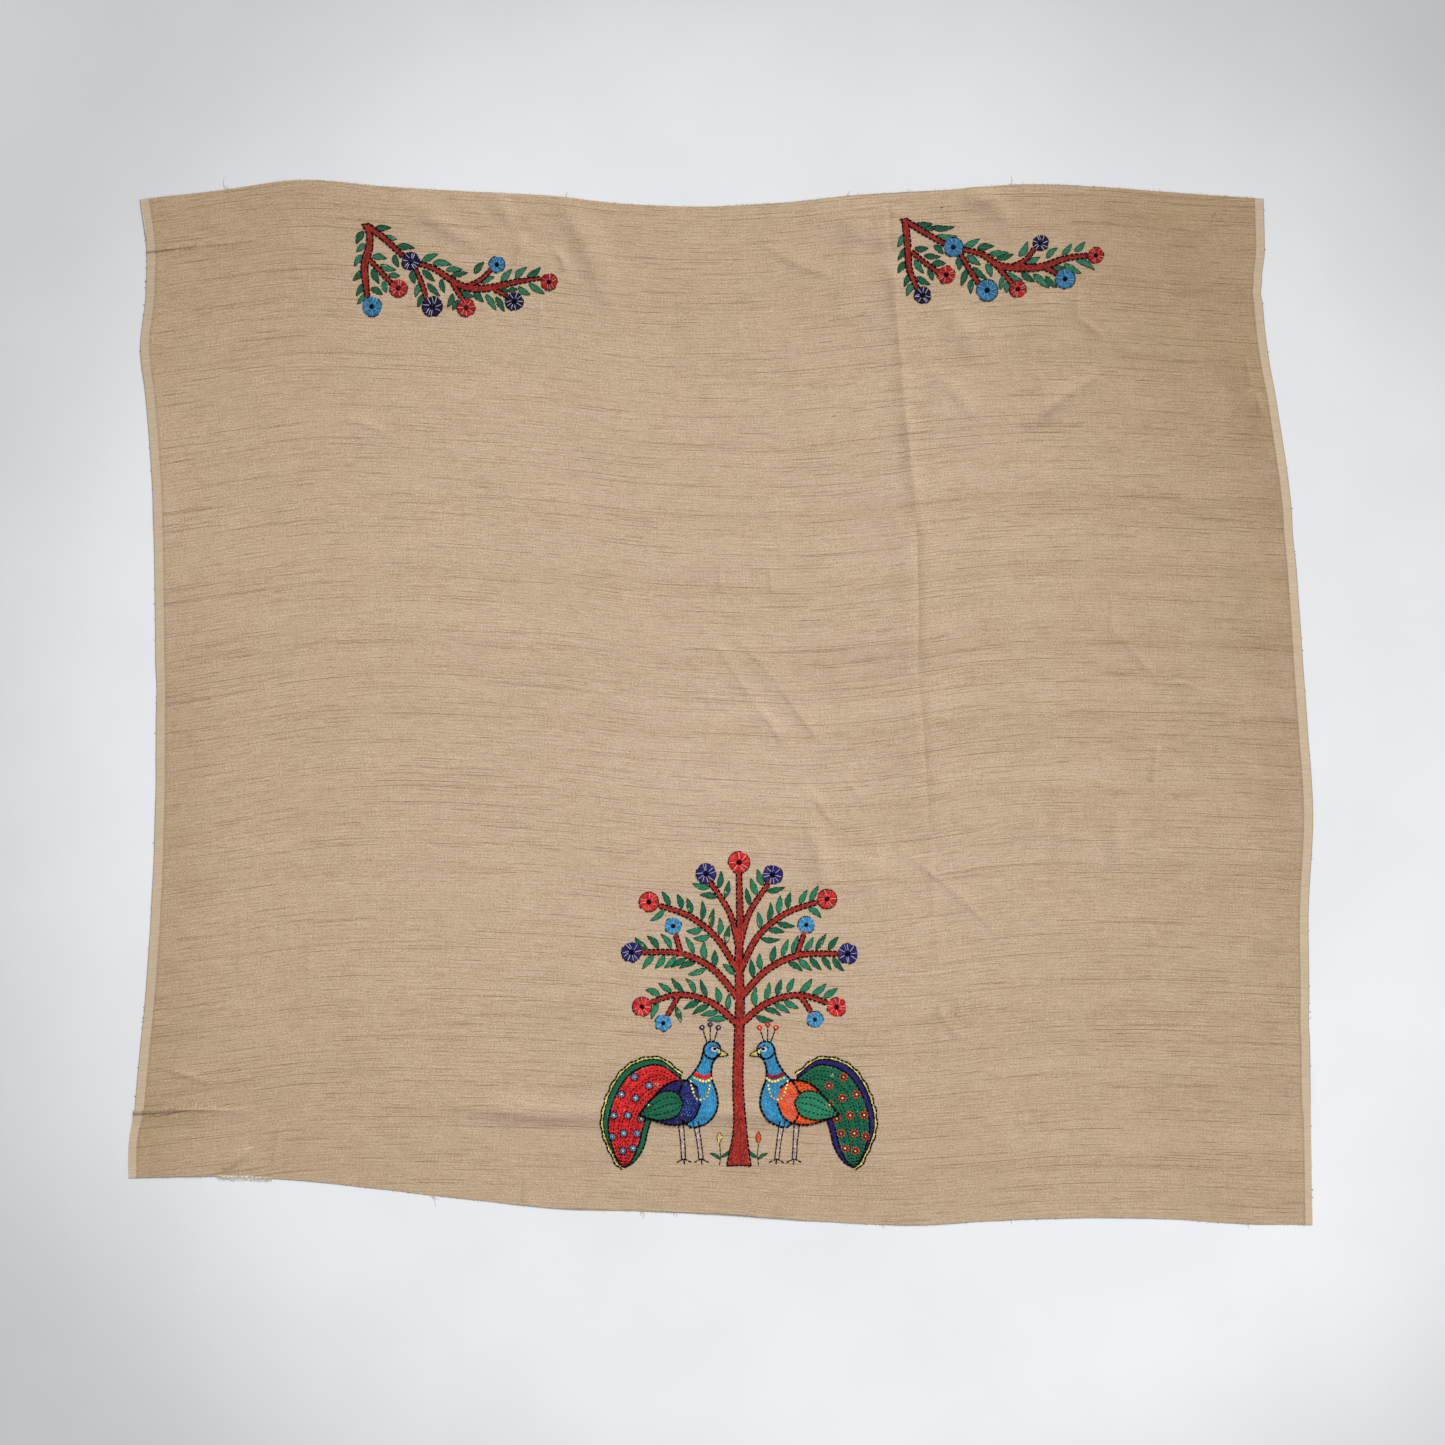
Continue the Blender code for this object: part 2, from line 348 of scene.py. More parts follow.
# Thread colours, linear. The sprays are worked in deeper threads than the panel.
THREADS = {
    "brick": (0.390, 0.032, 0.024),
    "red": (0.680, 0.026, 0.028),
    "green": (0.012, 0.135, 0.068),
    "jade": (0.026, 0.235, 0.120),
    "pine": (0.005, 0.042, 0.025),
    "navy": (0.024, 0.020, 0.145),
    "blue": (0.043, 0.285, 0.540),
    "black": (0.005, 0.004, 0.005),
    "yellow": (0.830, 0.720, 0.210),
    "orange": (0.850, 0.110, 0.024),
    "white": (0.600, 0.600, 0.640),
    "maroon": (0.260, 0.018, 0.042),
    "pink": (0.640, 0.470, 0.400),
    "sky": (0.330, 0.560, 0.760),
}
DEEP_THREADS = {
    "brick": (0.290, 0.022, 0.017),
    "red": (0.390, 0.016, 0.015),
    "navy": (0.009, 0.008, 0.050),
    "blue": (0.030, 0.170, 0.335),
    "white": (0.600, 0.600, 0.650),
    "pink": (0.560, 0.350, 0.320),
    "green": (0.016, 0.105, 0.054),
    "jade": (0.034, 0.185, 0.105),
    "pine": (0.006, 0.036, 0.023),
    "sky": (0.240, 0.430, 0.600),
}
# Pale tone that a few stitches are mixed toward, a painted glint of light catching the strands
GLINT = (0.620, 0.520, 0.450)

# How much the tone of single stitches varies; leaves are worked in even satin stitch
SATIN = ("green", "jade")
STITCH_VARIETY = {"green": 0.55, "jade": 0.55, "pine": 0.2, "black": 0.2, "brick": 1.1, "white": 0.4,
                  "sky": 0.4, "blue": 0.70, "orange": 0.70}

# Section of a strand: sideways place and height, as shares of its width and height
SECTION = ((-0.50, 0.0), (-0.40, 0.72), (0.0, 1.0), (0.40, 0.72), (0.50, 0.0))
# Rings along a stitch: place along it, then width and height there
RINGS = ((0.08, 0.88, 0.80), (0.50, 1.0, 1.0), (0.92, 0.88, 0.80))
STITCH_POINTS = 2 + len(SECTION) * len(RINGS)

# The two sprays: where their tips lie, in metres. All places in them are in millimetres from the
# tip, right and up.
SPRAY_TIPS = {"left_spray": (-0.3457, 0.4663), "right_spray": (0.1797, 0.4712)}
BRANCH_COLUMNS = ("points", "start_width", "middle_width", "end_width")
LEFT_BRANCHES = (
    (((-1, 0), (3, -10), (2, -24), (-2, -39), (-1, -55), (1, -71)), 5.6, 7.4, 4.8),
    (((2, -33), (12, -44), (25, -58)), 4.4, 4.8, 4.4),
    (((2, -2), (18, -14), (36, -31)), 6.4, 5.6, 5.0),
    (((47, -42), (53, -55), (59, -74)), 4.0, 4.6, 4.4),
    (((51, -38), (66, -43), (80, -52), (96, -61), (118, -62), (145, -56), (170, -52)), 4.4, 6.8, 3.4),
    (((82, -53), (88, -64), (95, -75)), 4.6, 4.6, 4.2),
    (((97, -60), (111, -54), (122, -43)), 4.0, 4.4, 4.2),
    (((120, -61), (130, -66), (138, -70)), 4.6, 4.4, 4.0),
)
RIGHT_BRANCHES = (
    (((0, 0), (3, -31), (4, -48), (12, -68)), 6.4, 6.4, 4.6),
    (((6, -31), (18, -41), (33, -52)), 4.4, 4.6, 4.6),
    (((2, -2), (18, -12), (39, -24)), 5.6, 5.4, 5.0),
    (((54, -33), (62, -47), (72, -63)), 4.4, 5.0, 5.0),
    (((56, -29), (76, -34), (92, -45), (114, -47), (134, -46), (156, -38), (179, -35)), 4.6, 7.2, 4.4),
    (((89, -44), (97, -54), (107, -65)), 4.6, 4.6, 4.4),
    (((106, -45), (118, -39), (126, -28)), 4.4, 4.6, 4.4),
    (((132, -46), (141, -49), (149, -53)), 4.8, 4.8, 4.8),
)
# Short black lines across the top of a spray, where its two main branches meet
APEX_STITCHES = (((-6, 0), (3, 1.4)), ((2, 1.2), (5, -1.5)), ((-4.2, 0.4), (-2.6, -5.0)))
# Leaves: how far the satin runs past the tip that is given, how full they are, how their two ends
# taper, how much of the width is filled, and how many of a spray's first ones are edged in black
LEAF_RUN = 1.06
LEAF_FULLNESS = 3.15
LEAF_TAPERS = (0.65, 1.10)
LEAF_FILLED = 0.90
SPRAY_LEAF_WIDTHS = (5.9, 7.2)
OUTLINED_LEAVES = {"left_spray": 4, "right_spray": 2}
# Points along a leaf that later leaves keep clear of, and how far its foot stands off a branch
LEAF_CHECKS = (0.35, 0.65, 1.0)
LEAF_STAND = 0.6
LEAF_COLUMNS = ("base_x", "base_y", "tip_x", "tip_y")
LEFT_LEAVES = (
    (6, -5, 23, -3), (15, -12, 29, -14), (28, -23, 46, -23), (-3, -6, -10, -18),
    (-2, -18, -10, -26), (-3, -29, -12, -40), (-4, -44, -13, -54), (-3, -57, -10, -69),
    (-1, -67, -9, -77), (5, -31, 19, -33), (13, -39, 28, -44), (21, -49, 32, -50),
    (5, -43, 12, -57), (16, -55, 19, -66), (4, -62, 15, -68), (27, -29, 31, -41),
    (53, -37, 69, -29), (64, -38, 82, -39), (77, -44, 93, -44), (82, -50, 98, -47),
    (45, -44, 47, -57), (54, -44, 66, -55), (53, -57, 48, -70), (59, -57, 71, -69),
    (55, -68, 50, -80), (73, -53, 76, -66), (84, -67, 79, -80), (90, -73, 84, -83),
    (90, -65, 104, -70), (105, -48, 114, -37), (111, -57, 124, -51), (105, -64, 114, -75),
    (116, -68, 126, -83), (126, -70, 134, -84), (128, -64, 139, -65), (137, -65, 147, -63),
    (131, -56, 141, -44), (145, -53, 156, -42), (156, -51, 169, -42), (148, -60, 159, -68),
    (158, -57, 173, -67),
)
RIGHT_LEAVES = (
    (9, -5, 26, -4), (25, -7, 47, -7), (18, -11, 30, -8), (29, -16, 50, -16),
    (0, -14, -7, -26), (1, -27, -7, -39), (1, -41, -7, -52), (3, -53, -1, -65),
    (9, -62, 2, -74), (9, -28, 22, -28), (18, -35, 34, -36), (26, -43, 39, -43),
    (9, -39, 18, -52), (22, -49, 27, -59), (11, -56, 24, -63), (28, -25, 37, -33),
    (57, -27, 72, -19), (70, -28, 86, -26), (82, -33, 100, -32), (89, -38, 105, -34),
    (52, -36, 53, -49), (60, -35, 73, -44), (60, -48, 55, -64), (66, -46, 79, -57),
    (64, -58, 64, -72), (79, -43, 84, -55), (94, -56, 93, -68), (100, -60, 99, -71),
    (98, -52, 114, -59), (111, -36, 119, -22), (116, -43, 131, -37), (113, -51, 126, -60),
    (125, -53, 140, -66), (137, -55, 148, -66), (140, -48, 156, -47), (138, -38, 148, -28),
    (153, -34, 162, -24), (165, -31, 175, -22), (155, -43, 171, -52), (166, -39, 184, -49),
)
FLOWER_COLUMNS = ("x", "y", "radius", "thread")
LEFT_FLOWERS = (
    (5, -80, 10.0, "blue"), (31, -62, 9.2, "red"), (43, -36, 9.2, "navy"),
    (64, -80, 10.2, "navy"), (97, -81, 9.2, "red"), (127, -39, 8.2, "blue"),
    (144, -75, 9.2, "navy"), (178, -56, 8.5, "red"),
)
RIGHT_FLOWERS = (
    (17, -74, 8.6, "navy"), (40, -54, 9.2, "red"), (47, -27, 9.8, "blue"),
    (80, -69, 10.8, "blue"), (110, -68, 8.6, "red"), (132, -23, 8.2, "navy"),
    (156, -58, 10.0, "blue"), (186, -35, 8.2, "red"),
)
# Two rings of radial stitches: start and end as shares of the radius, stitches a millimetre
FLOWER_RINGS = ((0.50, 0.98, 3.3), (0.14, 0.58, 2.2))
# Thread and number of the pale rays on each colour of flower, and how much of its rim is bare
FLOWER_RAYS = {"red": ("pink", 8), "navy": ("white", 9), "blue": ("sky", 8)}
RIM_BARE = (0.15, 0.6)
# Width of a flower's stitches, and share of its radius that its pad covers
PETAL_WIDTH = STRAND * 1.15
PETAL_PAD = 0.94
# Pale rays: start and end as shares of the radius, and width and height. Black stitches in the
# eye: how many, half length as a share of the radius, and width and height.
RAY_START = (0.26, 0.36)
RAY_END = (0.88, 1.0)
RAY_SIZE = (0.00058, 0.0003)
EYE_STITCHES = 6
EYE_REACH = (0.22, 0.28)
EYE_SIZE = (0.0017, 0.0006)
RIM_WIDTH = 0.0009

# The panel, a flowering tree between two peacocks that face each other: where the trunk's foot
# lies, in metres, and all else in millimetres from there, right and up. What is listed for the
# right side is mirrored to the left, and each branch slips at most this far sideways and upright.
PANEL_FOOT = (0.0176, -0.4520)
MIRROR_SLIP = (1.5, 2.0)
TRUNK = ((0, 0), (1, 40), (-1, 80), (0, 120), (1, 160), (0, 200), (1, 240), (0, 286))
TRUNK_WIDTHS = (24.0, 13.0, 10.5, 9.6, 9.0, 8.2, 7.4, 6.4, 5.0)
TREE_BRANCHES = (
    (((1, 138), (28, 158), (60, 166), (91, 157)), 6.6, 5.8, 4.6),
    (((1, 164), (28, 193), (60, 207), (100, 208)), 6.6, 6.0, 4.8),
    (((1, 190), (20, 223), (47, 245), (81, 257)), 6.2, 5.6, 4.6),
    (((0, 212), (10, 246), (31, 279)), 5.8, 5.2, 4.6),
    (((56, 205), (60, 218), (64, 230)), 4.6, 4.6, 4.4),
    (((58, 167), (65, 157), (72, 145)), 4.6, 4.6, 4.4),
)
TREE_FLOWERS = (
    (96, 154, 9.6, "red"), (106, 208, 10.2, "navy"), (87, 259, 9.8, "red"), (33, 284, 10.0, "navy"),
    (65, 235, 8.6, "blue"), (74, 141, 8.4, "blue"),
)
TREE_TOP_FLOWER = (0, 296, 10.8, "red")
# Leaves of the tree: spacing and its unevenness, clear distance, turn from the branch in degrees,
# length, width, and how far from its foot the middle lies that has to be free
LEAF_SPACING = 11.0
LEAF_SPREAD = (0.92, 1.08)
LEAF_GAP = 4.6
LEAF_TURNS = (42, 56)
LEAF_LENGTHS = (14.5, 18.0)
TREE_LEAF_WIDTHS = (5.6, 6.8)
LEAF_MIDDLE = 7.0
# Room that a new leaf leaves to branches and to flowers
BRANCH_ROOM = 1.6
FLOWER_ROOM = 2.0
# How much stays without leaves at the start and the end of a branch, and of the trunk
BRANCH_BARE = (12.0, 7.0)
TRUNK_BARE = (132.0, 8.0)

# One peacock, in millimetres from the trunk's axis towards its own side, and up.
PEACOCK_COLUMNS = ("name", "front", "back")
PEACOCK_SHAPES = (
    ("tail", ((56, 88), (80, 104), (108, 96), (126, 70), (132, 38), (120, 6), (112, -2)),
     ((56, 60), (72, 60), (84, 48), (89, 34), (93, 18), (102, 4), (112, -2))),
    ("near_leg", ((40, 44), (37, 24), (35, 7)), ((45, 44), (41, 24), (39, 7))),
    ("far_leg", ((54, 40), (53, 24), (52, 7)), ((59, 40), (57, 24), (56, 7))),
    ("body", ((20, 110), (26, 99), (27, 86), (22, 72), (21, 57), (30, 43), (44, 37)),
     ((34, 116), (37, 103), (44, 91), (54, 80), (61, 64), (56, 46), (46, 37))),
    ("wing", ((40, 76), (54, 84), (74, 77), (98, 50)), ((37, 62), (45, 46), (66, 40), (98, 50))),
    ("wing_tip", ((54, 62), (62, 72), (78, 71), (98, 50)), ((54, 62), (60, 50), (76, 45), (98, 50))),
    ("collar", ((26, 92), (33, 88), (43, 92)), ((26, 88), (33, 84), (45, 88))),
    ("beak", ((10, 108), (15, 112), (20, 115)), ((10, 108), (15, 107), (21, 107))),
)
PEACOCK_HEAD = (26, 113, 8.6)
PEACOCK_CREST = (((25, 120), (20, 135)), ((28, 121), (28, 138)), ((31, 120), (36, 135)))
PEACOCK_TOES = (((37, 7), (29, 3)), ((37, 7), (36, 1)), ((37, 7), (44, 3)),
                ((54, 7), (46, 3)), ((54, 7), (53, 1)), ((54, 7), (61, 3)))
SPRIG_STEM = ((19, 0), (18, 10), (19, 22))
SPRIG_LEAVES = ((18, 8, 9, 15), (18, 6, 28, 12))
SPRIG_BUD = (19, 27, 5.0)

# The tail's eyes: share of the way between its two sides, then places along it. Its dotted rows
# and lines lie at shares of that way too.
TAIL_EYES = (
    (0.215, (0.34, 0.48, 0.62, 0.76)),
    (0.5, (0.27, 0.41, 0.55, 0.69, 0.83)),
    (0.785, (0.34, 0.48, 0.62, 0.76)),
)
TAIL_DOTS = (0.25, 0.36, 0.43, 0.57, 0.64, 0.75)
TAIL_FIELD = (0.12, 0.88)
TAIL_LINES = (*TAIL_FIELD, 1.0)
# Radius of an eye, how many knots ring it and how far out, and the scallops of the hem: width,
# how much it varies, and how many there are
EYE_RADIUS = 2.9
EYE_KNOTS = 9
KNOT_REACH = 3.6
HEM_WIDTH = 2.6
HEM_SWING = 0.8
HEM_WAVES = 13
# Dotted rows on the tail and on the tip of the wing: stitch, gap and width in metres
TAIL_DASHES = (0.0019, 0.0017, 0.0010)
WING_DASHES = (0.0020, 0.0016, 0.0010)
# The necklace, the line over the eye, and the thread of each part of the two birds
NECKLACE = ((28, 80), (32, 67), (42, 66), (48, 84))
BROW = ((-6.4, 0.6), (-2.4, 4.4), (3.4, 1.6))
LEFT_BIRD = {"tail": "red", "border": "green", "eye": "blue", "eye_rim": "black", "wing": "navy",
             "wing_tip": "green", "collar": "red", "crest": "navy", "bud": "yellow"}
RIGHT_BIRD = {"tail": "green", "border": "navy", "eye": "maroon", "eye_rim": "orange", "wing": "orange",
              "wing_tip": "jade", "collar": "maroon", "crest": "red", "bud": "orange"}

# Thread ends, in metres. Which way is out at the two cut edges
OUTWARD = {"top": 1, "bottom": -1}
# Where a cut end leaves the cloth, and where inside the edge its height is read
CUT_START = 0.00048
CUT_INSET = 0.0012
# How far a thread end starts below the cloth's face, its lowest start, its height on the floor,
# how much that varies, the power by which it falls there, and its number of points
END_SINK = 0.0002
LOWEST_START = 0.0001
FLOOR_LIFT = 0.00012
FLOOR_SPREAD = 0.00005
FALL_POWER = 1.5
END_STEPS = 5
# Width at a thread end's start and tip, and height of its ridge, as shares of its thickness
END_TAPER = (1.0, 0.45)
END_RIDGE = 1.6
# How much the headings of ends vary, in radians, and their sideways curls
HEADING_SPREAD = {"short": 0.35, "tuft": 0.8, "selvedge": 0.6}
CURL_SPREAD = 0.0002
TUFT_CURL = 0.18
THICKNESS = {"short": 0.00026, "loose": 0.00045, "tuft": 0.00036, "selvedge": 0.00055}
# Along the cut edges: where short ones start, how many, how long, and share and factor of longer
# ones. Then the long loose ones by share of the width, heading in degrees, length and curl.
EDGE_SPAN = (0.004, 0.996)
SHORT_ENDS = 1500
SHORT_END_LENGTHS = (0.0004, 0.0022)
LONGER_SHARE = 0.04
LONGER_FACTOR = 1.8
LOOSE_COLUMNS = ("edge", "across", "heading", "length", "curl")
LOOSE_THREADS = (
    ("top", 0.0764, 96, 0.0150, 0.0020),
    ("top", 0.0790, 110, 0.0060, 0.0010),
    ("top", 0.1480, 120, 0.0030, 0.0008),
    ("top", 0.3785, 78, 0.0070, 0.0012),
    ("top", 0.6287, 65, 0.0060, 0.0015),
    ("top", 0.7735, 84, 0.0090, -0.0012),
    ("bottom", 0.2490, -62, 0.0140, 0.0022),
    ("bottom", 0.2520, -35, 0.0080, -0.0015),
    ("bottom", 0.4240, -70, 0.0090, 0.0030),
    ("bottom", 0.4270, -95, 0.0060, -0.0025),
    ("bottom", 0.4506, -40, 0.0070, 0.0020),
    ("bottom", 0.4530, -80, 0.0050, -0.0010),
    ("bottom", 0.6235, -50, 0.0060, 0.0014),
    ("bottom", 0.7350, -75, 0.0050, 0.0010),
    ("bottom", 0.9417, -60, 0.0060, 0.0012),
)
# Tufts, stretches of a cut edge with many fine ends, by share of the width. Their ends are
# between two shares of the longest one.
TUFT_LENGTHS = (0.3, 1.0)
TUFT_COLUMNS = ("edge", "start", "end", "count", "longest")
TUFT_ROWS = (
    ("bottom", 0.074, 0.118, 330, 0.0062),
    ("bottom", 0.046, 0.080, 60, 0.0040),
    ("top", 0.519, 0.560, 120, 0.0030),
    ("top", 0.560, 0.630, 90, 0.0020),
    ("top", 0.130, 0.170, 40, 0.0022),
)
# Ends of slubs at both selvedges: how many, the stretch they are in, how far inside the edge
# they start, and how long they are
SELVEDGE_ENDS = 80
SELVEDGE_SPAN = (0.01, 0.99)
SELVEDGE_START = 0.0004
SELVEDGE_END_LENGTHS = (0.0008, 0.0024)

# Flaws in the weave: how far they lie above the cloth, then where each short end of yarn starts,
# its heading in degrees, and its size
FLAW_LIFT = 0.00005
FLAW_COLUMNS = ("x", "y", "heading", "length", "thickness")
PALE_FLAWS = (
    (-0.2092, 0.4850, 93, 0.0075, 0.0008),
    (-0.2065, 0.4885, 70, 0.0030, 0.0008),
    (-0.1790, 0.4355, 96, 0.0060, 0.0008),
    (-0.1772, 0.4375, 60, 0.0025, 0.0007),
    (-0.1757, 0.3545, 91, 0.0190, 0.0006),
    (-0.1753, 0.3765, 88, 0.0150, 0.0007),
    (-0.1738, 0.3830, 95, 0.0100, 0.0006),
    (-0.5606, 0.4520, 98, 0.0370, 0.0008),
)
DARK_FLAWS = (
    (0.2150, 0.4828, 20, 0.0018, 0.0014),
    (0.1090, 0.2790, 25, 0.0040, 0.0008),
    (0.2284, -0.3044, 15, 0.0018, 0.0012),
    (0.4795, 0.4733, 56, 0.0115, 0.0004),
)

# Seeds of the random draws of each motif and piece
SEEDS = {"left_spray": 11, "right_spray": 12, "panel_tree": 13, "panel_left_bird": 14,
         "panel_right_bird": 15, "frayed_top_ends": 21, "frayed_bottom_ends": 22,
         "selvedge_ends": 23, "frayed_tuft": 24}


def named(columns, rows):
    """A table's rows as dictionaries of its named columns."""
    return [dict(zip(columns, row)) for row in rows]


def all_folds():
    """Every fold in metres, with its lean and whether its crest is sharp."""
    folds = []
    for sharp, rows in ((False, ROUND_FOLDS), (True, SHARP_FOLDS)):
        for row in named(FOLD_COLUMNS, rows):
            lean = row.pop("lean")
            metres = {name: value / 1000 for name, value in row.items()}
            folds.append({**metres, "lean": lean, "sharp": sharp})
    return folds


def smooth_read(places, values, at):
    """Reads a table on a smooth curve that passes through each of its rows."""
    places = np.asarray(places, float)
    values = np.asarray(values, float)
    low = np.maximum(np.arange(len(places)) - 1, 0)
    high = np.minimum(np.arange(len(places)) + 1, len(places) - 1)
    slopes = (values[high] - values[low]) / (places[high] - places[low])
    row = np.clip(np.searchsorted(places, at, side="right") - 1, 0, len(places) - 2)
    span = places[row + 1] - places[row]
    part = (at - places[row]) / span
    square = part ** 2
    cube = part ** 3
    return (values[row] * (2 * cube - 3 * square + 1)
            + slopes[row] * span * (cube - 2 * square + part)
            + values[row + 1] * (3 * square - 2 * cube)
            + slopes[row + 1] * span * (cube - square))


def warp_line(name, down):
    place = WARP_COLUMNS.index(name)
    return smooth_read([row[0] for row in WARP_LINES], [row[place] for row in WARP_LINES], down)


def weft_line(name, across):
    place = WEFT_COLUMNS.index(name)
    return smooth_read(np.linspace(0, 1, len(WEFT_LINES)), [row[place] for row in WEFT_LINES], across)


def plan(across, down):
    """Plan position of the points at a share of the cloth's width and length."""
    left, crease, right = (warp_line(name, down) for name in WARP_COLUMNS[1:])
    beyond = (across - CREASE_ACROSS) / (1 - CREASE_ACROSS)
    x = np.where(across <= CREASE_ACROSS,
                 left + (crease - left) * across / CREASE_ACROSS,
                 crease + (right - crease) * beyond)
    top, bottom = (weft_line(name, across) for name in ("top_edge", "bottom_edge"))
    return x, top + (bottom - top) * down


def in_frame(across, down):
    """The place in the frame of one point of the cloth's plan."""
    x, y = plan(np.array([across]), np.array([down]))
    return float(x[0]) + PLAN_SHIFT[0], float(y[0]) + PLAN_SHIFT[1]


def weft_swing(across, down):
    """How far the weft thread at a point swings up from level."""
    top, middle, bottom = (weft_line(name, across) for name in WEFT_COLUMNS[2:])
    upper = top + (middle - top) * np.minimum(down, 0.5) * 2
    return upper + (bottom - middle) * np.maximum(down - 0.5, 0.0) * 2


def fold_arc(fold):
    """Points along the bowed line of a fold."""
    run_x = fold["x1"] - fold["x0"]
    run_y = fold["y1"] - fold["y0"]
    parts = np.linspace(0, 1, ARC_STEPS + 1)
    swing = fold["bow"] * np.sin(np.pi * parts) / math.hypot(run_x, run_y)
    return fold["x0"] + run_x * parts - run_y * swing, fold["y0"] + run_y * parts + run_x * swing


def nearest_on_arc(arc_x, arc_y, x, y):
    """Distance of points from a line, their share along it, and which side of it they lie on."""
    best = np.full(x.shape, np.inf)
    share = np.zeros(x.shape)
    left = np.ones(x.shape)
    for i, (step_x, step_y) in enumerate(zip(np.diff(arc_x), np.diff(arc_y))):
        off_x = x - arc_x[i]
        off_y = y - arc_y[i]
        along = np.clip((off_x * step_x + off_y * step_y) / (step_x ** 2 + step_y ** 2), 0, 1)
        away = np.hypot(off_x - step_x * along, off_y - step_y * along)
        nearer = away < best
        share = np.where(nearer, (i + along) / (len(arc_x) - 1), share)
        left = np.where(nearer, np.sign(off_y * step_x - off_x * step_y), left)
        best = np.minimum(best, away)
    return best, share, left


def one_fold(fold, x, y):
    """Height of one fold at plan points: a rounded ridge, a sharp crest or a gutter."""
    best, share, left = nearest_on_arc(*fold_arc(fold), x, y)
    ends = np.minimum(share, 1 - share)
    off = np.clip(best / fold["half_width"], 0, 1)
    if fold["height"] < 0:
        rise = np.minimum(1, GUTTER_END_RISE * ends)
        return -GUTTER_SCALE * fold["height"] * rise * off * (1 - off) ** 2
    fade = np.minimum(1, END_HEIGHT + END_RISE * ends)
    off = off * left - fold["lean"]
    off = np.abs(off / np.where(off > 0, 1 - fold["lean"], 1 + fold["lean"]))
    if fold["sharp"]:
        crest = (np.sqrt(off ** 2 + CREST_ROUND ** 2) - CREST_ROUND) / CREST_SPAN
        return fold["height"] * np.minimum(fade, CREST_END_RISE * ends) * (1 - crest) ** CREST_POWER
    return fold["height"] * fade * (1 - off ** 2) ** 2


def near_box(x, y, line_x, line_y, reach):
    """Which points lie within some distance of a line's box."""
    return ((x > min(line_x) - reach) & (x < max(line_x) + reach)
            & (y > min(line_y) - reach) & (y < max(line_y) + reach))


def fold_height(x, y):
    """Height of all folds and creases, worked out only near each of them."""
    height = np.zeros(x.shape)
    for fold in FOLDS:
        reach = fold["half_width"] + abs(fold["bow"])
        near = near_box(x, y, (fold["x0"], fold["x1"]), (fold["y0"], fold["y1"]), reach)
        height[near] += one_fold(fold, x[near], y[near])
    return height


def waves(x, y, shortest, longest, seed):
    """Uneven waves between -1 and 1, from many slanted ripples of different lengths."""
    draw = random.Random(seed)
    total = np.zeros(x.shape)
    for _ in range(WAVE_COUNT):
        heading = draw.uniform(0, math.pi)
        number = 2 * math.pi / draw.uniform(shortest, longest)
        phase = draw.uniform(0, 2 * math.pi)
        total += np.sin(number * (x * math.cos(heading) + y * math.sin(heading)) + phase)
    return np.clip(total / math.sqrt(2 * WAVE_COUNT), -1, 1)


def loose_height(x, y):
    """Small lifts of cloth that lies loosely, stronger where stitching draws it together."""
    height = LOOSE_HEIGHT * (1 + waves(x, y, *LOOSE_WAVES))
    for row in named(PUCKER_COLUMNS, PUCKER_ROWS):
        away = np.hypot((x - row["x"]) / row["half_x"], (y - row["y"]) / row["half_y"])
        near = np.clip(PUCKER_FADE[0] - away * PUCKER_FADE[1], 0, 1)
        height += row["height"] * near * (1 + waves(x, y, *PUCKER_WAVES))
    return height


def tuck_place(tuck):
    """The line of a tuck, from the left selvedge into the cloth, in plan."""
    across = np.linspace(0, tuck["reach"] / FLAT_WIDTH, ARC_STEPS + 1)
    return plan(across, np.full(across.shape, tuck["down"]))


def add_tucks(across, down, y, z):
    """Folds a narrow strip of cloth under itself at the left selvedge."""
    for tuck in named(TUCK_COLUMNS, TUCK_ROWS):
        inside = np.clip(1 - across * FLAT_WIDTH / tuck["reach"], 0, 1)
        inside = inside * inside * (3 - 2 * inside)
        turn = np.clip((down - tuck["down"]) * FLAT_LENGTH / tuck["half_width"], -1, 1)
        y = y + inside * tuck["depth"] * np.sin(math.pi * turn)
        lip = np.where(turn < LIP_CREST, (turn + 1) / (1 + LIP_CREST), (1 - turn) / (1 - LIP_CREST))
        z = z + inside * tuck["lip"] * np.sin(0.5 * math.pi * np.clip(lip, 0, 1)) ** 2
    return y, z


def add_dents(across, down, x):
    """Draws the selvedges in or out a little, as in loose cloth."""
    for dent in named(DENT_COLUMNS, DENT_ROWS):
        edge, hand = (across, 1) if dent["side"] == "left" else (1 - across, -1)
        inside = np.clip(1 - edge * FLAT_WIDTH / DENT_REACH, 0, 1)
        off = np.clip((down - dent["down"]) * FLAT_LENGTH / dent["half_length"], -1, 1)
        x = x + hand * dent["depth"] * inside * (1 - off ** 2) ** 2
    return x


def refine(net, lines, reaches):
    """Halves the edges of the net's faces near the lines, once for each distance."""
    for reach in reaches:
        net.faces.ensure_lookup_table()
        centres = np.array([face.calc_center_median()[:2] for face in net.faces])
        x, y = plan(centres[:, 0], centres[:, 1])
        near = np.zeros(len(x), bool)
        for arc_x, arc_y in lines:
            index = np.flatnonzero(near_box(x, y, arc_x, arc_y, reach))
            away = nearest_on_arc(arc_x, arc_y, x[index], y[index])[0]
            near[index[away < reach]] = True
        edges = {edge for i in np.flatnonzero(near) for edge in net.faces[i].edges}
        ordered = sorted(edges, key=lambda edge: edge.index)
        bmesh.ops.subdivide_edges(net, edges=ordered, cuts=1, use_grid_fill=True)
        for parts in (net.faces, net.edges, net.verts):
            parts.index_update()


